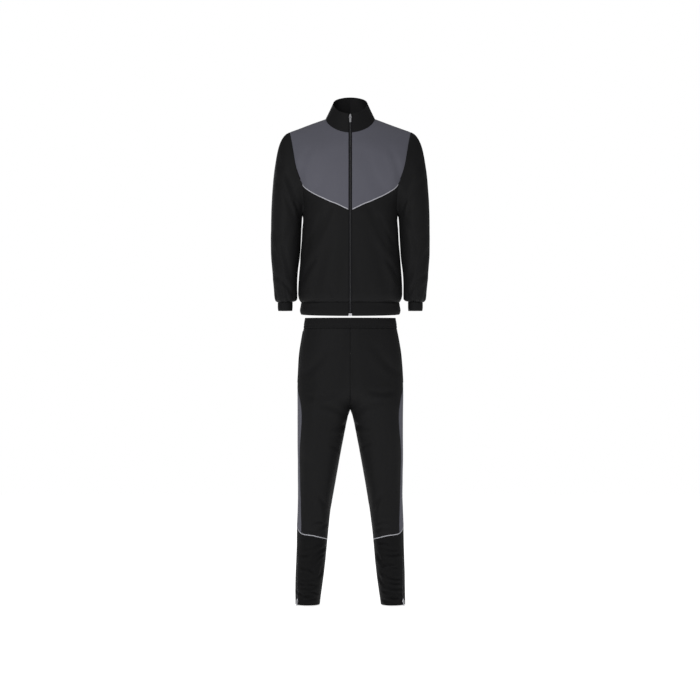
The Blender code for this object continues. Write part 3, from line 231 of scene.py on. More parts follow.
SLEEVE_FRONT_FOLDS = (
    (256, -151, 194, -290, 6, 13, -3.6, 0.6),
    (250, -230, 206, -330, 5, 10, -2.6, 0.6),
    (256, -427, 214, -565, 4, 12, -3.4, 0.6),
    (270, -480, 236, -590, 4, 10, -2.6, 0.5),
    (206, -380, 238, -470, -5, 11, -2.4, 0.5),
    (196, -300, 182, -345, 2, 7, -2.4, 0.6),
    (230, -90, 212, -190, 4, 16, -2.2, 0.4),
    (264, -560, 214, -622, 6, 9, -3.0, 0.6),
    (226, -652, 232, -618, 0, 5, -2.0, 0.6),
    (244, -652, 250, -610, 0, 5, -2.0, 0.6),
    (208, -648, 204, -622, 0, 4, -1.6, 0.6),
    (262, -650, 268, -622, 0, 4, -1.6, 0.6),
    (-256, -151, -194, -290, -6, 13, -3.6, 0.6),
    (-252, -236, -208, -338, -5, 10, -2.6, 0.6),
    (-256, -424, -216, -562, -4, 12, -3.4, 0.6),
    (-268, -476, -238, -586, -4, 10, -2.6, 0.5),
    (-206, -372, -236, -462, 5, 11, -2.4, 0.5),
    (-196, -302, -182, -348, -2, 7, -2.4, 0.6),
    (-230, -94, -212, -186, -4, 16, -2.2, 0.4),
    (-262, -566, -212, -620, -6, 9, -3.0, 0.6),
    (-222, -652, -230, -616, 0, 5, -2.0, 0.6),
    (-240, -652, -246, -612, 0, 5, -2.0, 0.6),
    (-206, -648, -203, -620, 0, 4, -1.6, 0.6),
    (-260, -650, -266, -620, 0, 4, -1.6, 0.6),
)
SLEEVE_BACK_FOLDS = (
    (262, -300, 204, -360, 8, 12, -3.4, 0.6),
    (266, -370, 206, -400, 6, 10, -3.0, 0.6),
    (262, -440, 210, -470, 6, 11, -2.8, 0.6),
    (240, -110, 214, -250, 5, 15, -2.6, 0.4),
    (258, -520, 216, -590, 5, 11, -2.8, 0.6),
    (232, -650, 238, -612, 0, 6, -2.0, 0.6),
    (-262, -296, -204, -356, -8, 12, -3.4, 0.6),
    (-266, -366, -206, -398, -6, 10, -3.0, 0.6),
    (-262, -446, -210, -474, -6, 11, -2.8, 0.6),
    (-240, -106, -214, -246, -5, 15, -2.6, 0.4),
    (-258, -514, -216, -586, -5, 11, -2.8, 0.6),
    (-232, -650, -238, -614, 0, 6, -2.0, 0.6),
)
TROUSER_FRONT_FOLDS = (
    (72, -972, 142, -976, 5, 12, -3.2, 0.7),
    (96, -822, 168, -904, 8, 16, -3.2, 0.5),
    (14, -1092, 62, -1104, 4, 9, -3.2, 0.7),
    (-14, -1090, -60, -1108, -4, 9, -3.0, 0.7),
    (22, -1050, 96, -1010, -6, 13, -2.6, 0.6),
    (-22, -1056, -100, -1018, 6, 13, -2.6, 0.6),
    (108, -1344, 84, -1396, 4, 10, -3.2, 0.6),
    (-104, -1356, -86, -1402, -4, 10, -3.0, 0.6),
    (-62, -980, -134, -992, -6, 12, -2.8, 0.7),
    (-90, -830, -166, -912, -8, 16, -3.0, 0.5),
    (120, -910, 150, -1180, 6, 20, 2.4, 0.0),
    (-122, -905, -150, -1190, -6, 20, 2.4, 0.0),
    (60, -1130, 76, -1400, 5, 17, -2.6, 0.4),
    (-56, -1140, -74, -1404, -5, 17, -2.6, 0.4),
    (140, -1230, 128, -1420, 4, 14, -2.2, 0.4),
    (-142, -1240, -130, -1424, -4, 14, -2.2, 0.4),
    (30, -1180, 66, -1160, -3, 8, -2.0, 0.6),
    (-30, -1188, -64, -1170, 3, 8, -2.0, 0.6),
    (6, -760, 26, -1020, 3, 14, -1.8, 0.3),
    (-8, -760, -30, -1010, -3, 14, -1.8, 0.3),
)
TROUSER_BACK_FOLDS = (
    (30, -1052, 118, -1076, 10, 12, -4.0, 0.7),
    (-30, -1056, -116, -1080, -10, 12, -4.0, 0.7),
    (20, -1090, 90, -1120, 8, 10, -3.0, 0.6),
    (-20, -1094, -92, -1126, -8, 10, -3.0, 0.6),
    (60, -790, 150, -860, 8, 16, -2.6, 0.5),
    (-62, -786, -148, -856, -8, 16, -2.6, 0.5),
    (80, -1350, 160, -1376, 8, 12, -3.2, 0.7),
    (-82, -1356, -160, -1380, -8, 12, -3.2, 0.7),
    (76, -1392, 150, -1404, 6, 10, -3.0, 0.7),
    (-78, -1398, -152, -1410, -6, 10, -3.0, 0.7),
    (104, -1130, 96, -1320, 5, 18, 2.4, 0.0),
    (-104, -1134, -96, -1326, -5, 18, 2.4, 0.0),
)
SHIN_FOLDS = (
    (134, -1518, 108, -1516, 3, 6, -3.0, 0.7),
    (112, -1530, 160, -1540, 4, 7, -2.6, 0.6),
    (170, -1556, 124, -1553, -4, 6, -3.2, 0.7),
    (152, -1592, 120, -1596, 4, 6, -3.2, 0.7),
    (164, -1604, 138, -1610, 3, 5, -2.4, 0.7),
    (118, -1626, 176, -1646, 5, 6, -3.2, 0.7),
    (174, -1660, 142, -1656, -3, 5, -3.4, 0.7),
    (130, -1672, 182, -1680, 4, 6, -2.8, 0.7),
    (122, -1690, 156, -1696, 3, 5, -2.6, 0.7),
    (168, -1712, 140, -1710, -3, 5, -4.0, 0.7),
    (120, -1722, 150, -1728, 3, 5, -2.2, 0.7),
    (176, -1694, 190, -1704, 2, 5, -2.4, 0.7),
    (100, -1560, 116, -1590, 3, 6, -2.4, 0.6),
    (106, -1640, 118, -1664, 3, 5, -2.2, 0.6),
    (-136, -1582, -100, -1541, -5, 6, -3.6, 0.7),
    (-136, -1600, -104, -1561, -4, 5, -3.2, 0.7),
    (-154, -1534, -118, -1520, 4, 7, -2.6, 0.6),
    (-170, -1560, -140, -1548, 4, 6, -2.6, 0.7),
    (-168, -1606, -136, -1618, -4, 6, -2.8, 0.7),
    (-168, -1649, -138, -1647, 3, 5, -3.4, 0.7),
    (-172, -1662, -124, -1668, -4, 6, -2.8, 0.7),
    (-168, -1678, -130, -1677, 4, 5, -3.4, 0.7),
    (-160, -1692, -120, -1698, -4, 5, -2.6, 0.7),
    (-164, -1706, -136, -1705, 3, 5, -4.2, 0.7),
    (-130, -1716, -158, -1724, 3, 5, -2.4, 0.7),
    (-190, -1690, -176, -1700, 2, 5, -2.4, 0.7),
    (-104, -1610, -114, -1640, -3, 5, -2.4, 0.6),
    (-154, -1469, -130, -1474, 3, 5, -2.6, 0.6),
    (-130, -1444, -102, -1441, -3, 6, -3.0, 0.7),
    (-134, -1488, -90, -1451, -5, 7, -2.6, 0.6),
    (130, -1440, 100, -1446, 3, 6, -2.6, 0.6),
    (96, -1470, 132, -1462, -4, 7, -2.4, 0.6),
)
CALF_BACK_FOLDS = (
    (176, -1540, 112, -1530, -6, 8, -3.0, 0.7),
    (-176, -1536, -114, -1528, 6, 8, -3.0, 0.7),
    (120, -1566, 178, -1580, 6, 8, -3.0, 0.7),
    (-122, -1570, -176, -1586, -6, 8, -3.0, 0.7),
    (170, -1614, 116, -1624, -6, 7, -3.2, 0.7),
    (-170, -1610, -116, -1620, 6, 7, -3.2, 0.7),
    (130, -1650, 182, -1662, 5, 6, -3.2, 0.7),
    (-132, -1652, -180, -1666, -5, 6, -3.2, 0.7),
    (172, -1684, 124, -1680, -5, 6, -3.2, 0.7),
    (-172, -1688, -126, -1684, 5, 6, -3.2, 0.7),
    (134, -1706, 176, -1712, 4, 5, -3.4, 0.7),
    (-134, -1704, -176, -1710, -4, 5, -3.4, 0.7),
)
FOLD_FADE = 30.0
FOLD_END = 1.2
RIDGE_PLACE = 1.7
RIDGE_REACH = 0.95

# Slow unevenness of the cloth: wave length and height
DRIFT = ((150.0, 0.6), (70.0, 0.3), (34.0, 0.1))
DRIFT_WAVES = 9
DRIFT_GAIN = 1.6
JACKET_SEED = 11
TROUSERS_SEED = 23

# Points that fall in one cell of this grid, in cells per mm with a shift off round values, are one
WELD_CELLS = 20
WELD_SHIFT = 0.137
FIXED_REACH = 0.4
NO_SEAM_NEAR = 99.0

# Trims
LINE_STEP = 3.0
TAPE_WALL = 1.0
TAPE_CLEARANCE = 0.15
ANKLE_ZIP_TOP_Z = -1566.0
ANKLE_ZIP_X = 190.0
ANKLE_TAPE_HALF = 3.2
POCKET_X = 170.0
POCKET_TOP_Z = -760.0
POCKET_END_Z = -945.0
WELT_COLUMNS = 8
WELT_INNER = 1.2
WELT_OUTER = 13.0
WELT_WALL = 1.2
STITCH_DROP = 741.0

MADE = {}


def along(table, key, name, value):
    """Smooth curve through a column of a table at a value of its key column: cubic Hermite pieces whose
    slopes at the knots are the weighted means of the slopes on either side."""
    x = np.array(table[key], float)
    y = np.array(table[name], float)
    if x[0] > x[-1]:
        x = x[::-1]
        y = y[::-1]
    slope = np.gradient(y, x)
    value = np.clip(np.asarray(value, float), x[0], x[-1])
    i = np.clip(np.searchsorted(x, value, side="right") - 1, 0, len(x) - 2)
    width = x[i + 1] - x[i]
    t = (value - x[i]) / width
    rise = (1 + 2 * t) * (1 - t) ** 2 * y[i] + t * t * (3 - 2 * t) * y[i + 1]
    return rise + width * (t * (1 - t) ** 2 * slope[i] - t * t * (1 - t) * slope[i + 1])


def stops(first, last, step, seams=(), close=()):
    """Values of a grid parameter: even steps, with extra ones a short way to each side of every seam."""
    even = np.linspace(first, last, int(round((last - first) / step)) + 1)
    seams = np.array(seams, float)
    if len(seams):
        near = np.min(np.abs(even[:, None] - seams), 1)
        even = even[(near > 1.15 * max(close)) | (near < 1e-9)]
        extra = (seams[:, None] + np.outer([-1, 1], close).ravel()).ravel()
        even = np.concatenate([even, seams, extra])
    values = np.unique(np.round(even, 7))
    return values[(values >= first) & (values <= last)]


def at_length(table, share):
    """Points at shares of the length of the smooth curve through a table's x and z columns."""
    x = np.array(table["x"], float)
    z = np.array(table["z"], float)
    length = np.concatenate([[0], np.cumsum(np.hypot(np.diff(x), np.diff(z)))])
    keyed = {"length": length, "x": x, "z": z}
    place = np.asarray(share, float) * length[-1]
    return np.stack([along(keyed, "length", "x", place), along(keyed, "length", "z", place)], 1)


def shoulder_z(x):
    """Height of the shoulder line: a straight fall from the middle outwards."""
    return SHOULDER_TOP - SHOULDER_SLOPE * np.abs(x)


def torso(side, x, z):
    """Point of the jacket body at a width and a height, side -1 in front and +1 behind: the depth is a
    superellipse of the width, rounded off as a quarter circle below the shoulder line."""
    half = along(TORSO, "z", "half_width", z)
    depth = along(TORSO, "z", "front" if side < 0 else "back", z)
    across = np.clip(np.abs(x) / half, 0, 1)
    profile = (1 - across**SECTION_POWER) ** (1 / SECTION_POWER)
    rise = np.clip((shoulder_z(x) - z) / (FRONT_ROUNDING if side < 0 else BACK_ROUNDING), 0, 1)
    ridge = SHOULDER_LEAN * (1 - np.abs(x) / ARMHOLE_YOKE["x"][-1])
    y = ridge + side * (depth - side * ridge) * profile * np.sqrt(1 - (1 - rise) ** 2)
    return np.stack([x, y, z], -1)


def to_turn(x, z):
    """Width as a share of the quarter turn from the centre line to the side."""
    across = np.clip(x / along(TORSO, "z", "half_width", z), 0, 1) ** (SECTION_POWER / 2)
    return np.arcsin(across) * 2 / math.pi


def from_turn(turn, z):
    """Width at a share of the quarter turn, the other way round."""
    half = along(TORSO, "z", "half_width", z)
    return half * np.sin(np.clip(turn, 0, 1) * math.pi / 2) ** (2 / SECTION_POWER)


def blended(across, bottom, top, left, right):
    """Grid filled between four edges that share their corners: the sum of the two straight blends across
    and up, less the bilinear blend of the corners."""
    u = across[None, :, None]
    height = left[:, 1] + right[:, 1]
    v = ((height - height[0]) / (height[-1] - height[0]))[:, None, None]
    corners = (1 - u) * ((1 - v) * bottom[0] + v * top[0]) + u * ((1 - v) * bottom[-1] + v * top[-1])
    return (1 - v) * bottom + v * top + (1 - u) * left[:, None] + u * right[:, None] - corners


def body_panel(side, across, bottom, top, left, right):
    """Panel of the jacket body between four edges given as widths and heights."""
    edges = (bottom, top, left, right)
    turned = [np.stack([to_turn(edge[:, 0], edge[:, 1]), edge[:, 1]], 1) for edge in edges]
    grid = blended(across, *turned)
    return torso(side, from_turn(grid[..., 0], grid[..., 1]), grid[..., 1])


def neck_front(share):
    """Front neck line: a superellipse from the zip to the neck point."""
    start = math.asin((ZIP_HALF / NECK_HALF) ** (NECK_POWER / 2))
    turn = start + (math.pi / 2 - start) * share
    x = NECK_HALF * np.sin(turn) ** (2 / NECK_POWER)
    z = shoulder_z(NECK_HALF) - NECK_FRONT_DROP * np.clip(np.cos(turn), 0, 1) ** (2 / NECK_POWER)
    return np.stack([x, z], 1)


def neck_back(share):
    """Back neck line: a shallow rise at the middle with a dip beside the neck point."""
    turn = math.pi / 2 * share
    z = shoulder_z(NECK_HALF) + NECK_BACK_RISE * np.cos(turn) ** 2 - NECK_BACK_DIP * np.sin(2 * turn) ** 2
    return np.stack([NECK_HALF * np.sin(turn), z], 1)


def mirrored(grid):
    return grid * np.array([-1.0, 1.0, 1.0])


def table_at(table, rows):
    """Every column of a table read at fractional rows."""
    return {name: along(table, "row", name, rows)[:, None] for name in table}


def tube_rings(table, rows, turn, first_ring=None):
    """Rings of a sleeve: an ellipse on the chord between its outer and inner point, blended at the top
    with the armhole loop by the table's tube share."""
    at = table_at(table, rows)
    centre = np.concatenate([(at["outer_x"] + at["inner_x"]) / 2, (at["outer_z"] + at["inner_z"]) / 2], 1)
    reach = np.concatenate([at["outer_x"] - at["inner_x"], at["outer_z"] - at["inner_z"]], 1)
    half = np.linalg.norm(reach, axis=1, keepdims=True) / 2
    chord = reach / (2 * half)
    off_way = np.stack([chord[:, 1], -chord[:, 0]], 1)
    tube = np.clip(at["tube"], 0, 1)
    across = tube * np.cos(turn)
    depth = tube * (at["centre_y"] - at["half_depth"] * np.sin(turn))
    off = np.zeros(across.shape)
    if first_ring is not None:
        flat = first_ring[:, [0, 2]] - centre[0]
        across = across + (1 - tube) * (flat @ chord[0] / half[0])
        depth = depth + (1 - tube) * first_ring[:, 1]
        off = (1 - tube) * (flat @ off_way[0])
    flat = centre[:, None] + (half * across)[..., None] * chord[:, None] + off[..., None] * off_way[:, None]
    return np.stack([flat[..., 0], depth, flat[..., 1]], -1)


def leg_merge(z):
    """Share by which a leg section's centre stands out from the middle line: 1 below the crotch, easing
    to 0 above it as three times the square of the drop less twice its cube."""
    merge = np.clip(1 - (z - CROTCH_Z) / MERGE_HEIGHT, 0, 1)
    return merge * merge * (3 - 2 * merge)


def leg_point(angle, z):
    """Point of the right leg, a superellipse: 0 degrees is the outer side, 90 the front and 180 the inner
    side. Above the crotch its centre moves to the middle line."""
    angle = np.radians(angle)
    outer = along(LEG, "z", "outer", z)
    gap = np.where(z > CROTCH_Z, 0, np.interp(z, LEG["z"][::-1], LEG["gap"][::-1]))
    centre = (outer + gap) / 2 * leg_merge(z)
    half = outer - centre
    depth = np.where(angle > 0, along(LEG, "z", "front", z), along(LEG, "z", "back", z))
    cosine = np.cos(angle)
    sine = np.sin(angle)
    x = centre + half * np.sign(cosine) * np.abs(cosine) ** (2 / LEG_POWER)
    y = -depth * np.sign(sine) * np.abs(sine) ** (2 / LEG_POWER)
    return np.stack([x, y, z], -1)


def inner_angle(z):
    """Angle at which a leg section reaches the middle line above the crotch, and 180 below it."""
    outer = along(LEG, "z", "outer", z)
    centre = outer / 2 * leg_merge(z)
    cosine = np.clip(centre / (outer - centre), 0, 1) ** (LEG_POWER / 2)
    return np.where(z > CROTCH_Z + 1e-6, 180 - np.degrees(np.arccos(cosine)), 180.0)


def leg_z(rows, angle):
    """Height of the rows of the leg at an angle: level down to the crotch, then easing to the knee seam."""
    knee = along(KNEE_SEAM, "angle", "z", angle)
    hip = np.interp(rows, np.arange(len(HIP_ROWS_Z)), HIP_ROWS_Z)[:, None]
    thigh = np.interp(rows - HIP_ROWS, np.arange(len(THIGH_SHARES)), THIGH_SHARES)[:, None]
    calf = np.interp(rows - KNEE_ROW, np.arange(len(CALF_SHARES)), CALF_SHARES)[:, None]
    below = np.where(rows[:, None] <= KNEE_ROW, CROTCH_Z + (knee - CROTCH_Z) * thigh,
                     knee + (ANKLE_Z - knee) * calf)
    return np.where(rows[:, None] <= HIP_ROWS, hip, below)


def leg_panel(rows, start, end, shares):
    """Leg piece between two seams, each an angle at a height: angle and height are found in turn."""
    angle = np.zeros((len(rows), len(shares)))
    z = leg_z(rows, angle)
    for _ in range(4):
        first = start(z[:, 0])[:, None]
        last = end(z[:, -1])[:, None]
        angle = first + (last - first) * shares
        z = leg_z(rows, angle)
    return leg_point(angle, z)


def stripe_front(z):
    return np.where(z < STRIPE_FRONT["z"][0], along(STRIPE_FRONT, "z", "angle", z), 0.0)


def stripe_back(z):
    return np.where(z < STRIPE_BACK["z"][0], along(STRIPE_BACK, "z", "angle", z), 0.0)


def shin_seam(z):
    return along(SHIN_SEAM, "z", "angle", z)


def calf_back(z):
    return np.full(z.shape, float(STRIPE_BACK["angle"][-1]))


def back_inseam(z):
    return -inner_angle(z)


def slopes(grid, closed):
    """Unit normals of a grid: the cross product of its differences down and across."""
    down = np.gradient(grid, axis=0)
    across = np.roll(grid, -1, 1) - np.roll(grid, 1, 1) if closed else np.gradient(grid, axis=1)
    normal = np.cross(down, across)
    return normal / np.maximum(np.linalg.norm(normal, axis=-1, keepdims=True), 1e-12)


def arc(grid, axis):
    """Length run along each line of a grid."""
    step = np.linalg.norm(np.diff(grid, axis=axis), axis=-1)
    start = np.zeros_like(np.take(step, [0], axis=axis))
    return np.concatenate([start, np.cumsum(step, axis=axis)], axis=axis)


def seam_distance(piece):
    """Distance over the cloth from each point to the nearest sewn edge."""
    across = arc(piece["grid"], 1)
    down = arc(piece["grid"], 0)
    ways = {"l": across, "r": across[:, -1:] - across, "t": down, "b": down[-1:] - down}
    found = [ways[edge] for edge in piece["seams"]]
    return np.min(found, axis=0) if found else np.full(across.shape, NO_SEAM_NEAR)


def fold_height(points, table):
    """Height of a table of folds at points seen from one side: across each bowed line a trough as a bell
    curve, steeper above than below, with a lower bell curve beside it as a ridge, fading past its ends."""
    x = points[..., 0]
    z = points[..., 2]
    total = np.zeros(x.shape)
    for x0, z0, x1, z1, bow, reach, depth, ridge in table:
        run = math.hypot(x1 - x0, z1 - z0)
        ahead = ((x - x0) * (x1 - x0) + (z - z0) * (z1 - z0)) / run
        aside = ((x - x0) * (z1 - z0) - (z - z0) * (x1 - x0)) / run
        share = np.clip(ahead / run, 0, 1)
        aside = (aside - bow * 4 * share * (1 - share)) * (1 if x1 > x0 else -1)
        past = np.maximum(np.abs(ahead - run / 2) - run / 2, 0) / (FOLD_END * reach)
        swell = np.sin(math.pi * np.clip(0.12 + 0.76 * share, 0, 1))
        deep = depth * np.exp(-(past**2)) * (0.55 + 0.45 * swell)
        width = np.where(aside > 0, 1.15, 0.8) * reach
        total += deep * np.exp(-((aside / width) ** 2))
        total -= deep * ridge * np.exp(-(((aside - RIDGE_PLACE * reach) / (RIDGE_REACH * reach)) ** 2))
    return total


def drift_height(points, seed):
    """Slow unevenness: for each wave length, a sum of sine waves in random directions."""
    rng = np.random.default_rng(seed)
    total = np.zeros(points.shape[:-1])
    for length, height in DRIFT:
        way = rng.normal(size=(DRIFT_WAVES, 3))
        way /= np.linalg.norm(way, axis=1, keepdims=True)
        phase = rng.uniform(0, 2 * math.pi, DRIFT_WAVES)
        stretch = rng.uniform(0.7, 1.4, DRIFT_WAVES)
        wave = np.sin(points @ (way * (2 * math.pi / length * stretch)[:, None]).T + phase)
        total += height * wave.mean(-1) * DRIFT_GAIN
    return total


class Cloth:
    """Panels of a garment, joined at their seams by shared points, normals and heights."""

    def __init__(self):
        self.pieces = {}
        self.fixed = []

    def add(self, name, grid, material, seams="", closed=False, wall=1.5, front=(), back=(), drift=1.0,
            extra=None):
        self.pieces[name] = {
            "grid": grid, "material": material, "seams": seams, "closed": closed, "wall": wall,
            "front": front, "back": back, "drift": drift, "extra": extra,
        }

    def turn_out(self):
        """Turns round the columns of every piece whose normals point inwards."""
        for piece in self.pieces.values():
            grid = piece["grid"]
            middle = grid.reshape(-1, 3).mean(0)
            if not piece["closed"]:
                middle = middle * np.array([0.55, 0.0, 1.0])
            if np.mean(np.sum(slopes(grid, piece["closed"]) * (grid - middle), -1)) < 0:
                piece["grid"] = grid[:, ::-1].copy()
                piece["seams"] = piece["seams"].translate(str.maketrans("lr", "rl"))
                if piece["extra"] is not None:
                    piece["extra"] = piece["extra"][:, ::-1]

    def joined(self, values):
        """The mean of values over all points that fall together, for each piece."""
        points = np.concatenate([piece["grid"].reshape(-1, 3) for piece in self.pieces.values()])
        cells = np.round(points * WELD_CELLS + WELD_SHIFT).astype(np.int64)
        _, index = np.unique(cells, axis=0, return_inverse=True)
        index = index.reshape(-1)
        flat = np.concatenate([values[name].reshape(piece["grid"][..., 0].size, -1)
                               for name, piece in self.pieces.items()])
        total = np.zeros((index.max() + 1, flat.shape[1]))
        np.add.at(total, index, flat)
        mean = (total / np.bincount(index)[:, None])[index]
        result = {}
        start = 0
        for name, piece in self.pieces.items():
            count = piece["grid"].shape[0] * piece["grid"].shape[1]
            result[name] = mean[start : start + count].reshape(piece["grid"].shape[:2] + (-1,))
            start += count
        return result

    def set_normals(self):
        """Normals shared at the seams."""
        mean = self.joined({name: slopes(p["grid"], p["closed"]) for name, p in self.pieces.items()})
        for name, piece in self.pieces.items():
            normal = mean[name]
            for point, way in self.fixed:
                near = np.linalg.norm(piece["grid"] - point, axis=-1) < FIXED_REACH
                normal[near] = way
            piece["normal"] = normal / np.maximum(np.linalg.norm(normal, axis=-1, keepdims=True), 1e-9)

    def settle(self, seed, strength=1.0):
        """Moves the cloth along its normals by its folds, slow unevenness and seams."""
        self.turn_out()
        self.set_normals()
        heights = {}
        for name, piece in self.pieces.items():
            grid = piece["grid"]
            share = np.clip(np.abs(grid[..., 1]) / FOLD_FADE, 0, 1)
            forward = np.where(grid[..., 1] < 0, share, 0)
            behind = np.where(grid[..., 1] > 0, share, 0)
            height = forward * fold_height(grid, piece["front"]) + behind * fold_height(grid, piece["back"])
            height = height * strength + piece["drift"] * drift_height(grid, seed)
            if piece["extra"] is not None:
                height = height + piece["extra"]
            near = seam_distance(piece)
            height = height - DITCH_DEPTH * np.exp(-((near / DITCH_REACH) ** 2))
            heights[name] = height + SWELL_HEIGHT * np.exp(-(((near - SWELL_PLACE) / SWELL_REACH) ** 2))
        mean = self.joined(heights)
        for name, piece in self.pieces.items():
            piece["grid"] = piece["grid"] + piece["normal"] * mean[name]
        self.set_normals()

    def build(self, materials):
        for name, piece in self.pieces.items():
            grid = drawn_back(piece["grid"], piece["closed"])
            thing = make_shell(name + "_cloth", grid, piece["normal"], piece["closed"], piece["wall"],
                               materials[piece["material"]])
            finish_cloth(thing, (name,))


def drawn_back(grid, closed):
    """The grid with its edge points moved a half seam gap towards their neighbours inside."""
    grid = grid.copy()
    sides = [(np.s_[0, :], np.s_[1, :]), (np.s_[-1, :], np.s_[-2, :])]
    if not closed:
        sides += [(np.s_[:, 0], np.s_[:, 1]), (np.s_[:, -1], np.s_[:, -2])]
    source = grid.copy()
    for edge, inside in sides:
        way = source[inside] - source[edge]
        size = np.maximum(np.linalg.norm(way, axis=-1, keepdims=True), 1e-9)
        grid[edge] = grid[edge] + way / size * np.minimum(SEAM_GAP / 2, size * 0.4)
    return grid


def quads(table):
    """Four-cornered faces between the neighbours in a table of point numbers."""
    return np.stack([table[:-1, :-1], table[1:, :-1], table[1:, 1:], table[:-1, 1:]], -1).reshape(-1, 4)


def make_shell(name, grid, normal, closed, wall, material):
    """Thin closed shell: the grid moved out and in by half the wall along its normals, joined round its
    rims, with lengths over the cloth in metres as its UV map."""
    rows, columns = grid.shape[:2]
    count = rows * columns
    half = normal * wall / 2
    points = np.concatenate([(grid + half).reshape(-1, 3), (grid - half).reshape(-1, 3)])
    index = np.arange(count).reshape(rows, columns)
    looped = np.concatenate([grid, grid[:, :1]], 1) if closed else grid
    if closed:
        index = np.concatenate([index, index[:, :1]], 1)
    wide = index.shape[1]
    flat = np.arange(rows * wide).reshape(rows, wide)
    uv = np.stack([arc(looped, 1), -np.broadcast_to(arc(looped, 0).mean(1, keepdims=True), (rows, wide))], -1)
    uv = uv.reshape(-1, 2) / 1000.0
    outer = quads(index)
    outer_uv = quads(flat)
    faces = [outer, outer[:, ::-1] + count]
    uvs = [outer_uv, outer_uv[:, ::-1]]
    loops = [(index[0, ::-1], flat[0, ::-1]), (index[-1], flat[-1])]
    if not closed:
        loops += [(index[:, 0], flat[:, 0]), (index[::-1, -1], flat[::-1, -1])]
    for loop, line in loops:
        faces.append(np.stack([loop[1:], loop[:-1], loop[:-1] + count, loop[1:] + count], 1))
        uvs.append(np.stack([line[1:], line[:-1], line[:-1], line[1:]], 1))
    faces = np.concatenate(faces)
    uvs = np.concatenate(uvs)
    a, b, c, d = (points[faces[:, k]] for k in range(4))
    if np.sum(a * np.cross(b, c)) + np.sum(a * np.cross(c, d)) < 0:
        faces = faces[:, ::-1]
        uvs = uvs[:, ::-1]
    return make_mesh(name, points, faces, material, uv[uvs.reshape(-1)])


def make_mesh(name, points, faces, material, uv=None):
    """Smooth mesh in metres from arrays of points and of faces with equally many corners."""
    mesh = bpy.data.meshes.new(name)
    sides = faces.shape[1]
    mesh.vertices.add(len(points))
    mesh.vertices.foreach_set("co", (np.asarray(points, np.float32) / 1000.0).ravel())
    mesh.loops.add(faces.size)
    mesh.loops.foreach_set("vertex_index", np.ascontiguousarray(faces, np.int32).ravel())
    mesh.polygons.add(len(faces))
    mesh.polygons.foreach_set("loop_start", np.arange(0, faces.size, sides, dtype=np.int32))
    mesh.polygons.foreach_set("use_smooth", np.ones(len(faces), bool))
    if uv is not None:
        layer = mesh.uv_layers.new(name="cloth")
        layer.data.foreach_set("uv", np.asarray(uv, np.float32).ravel())
    mesh.update(calc_edges=True)
    mesh.validate()
    mesh.materials.append(material)
    thing = bpy.data.objects.new(name, mesh)
    bpy.context.scene.collection.objects.link(thing)
    return thing


def finish_cloth(thing, nodes):
    """Lets a cloth piece stand for its solids."""
    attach(thing, BODY)
    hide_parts(*nodes)


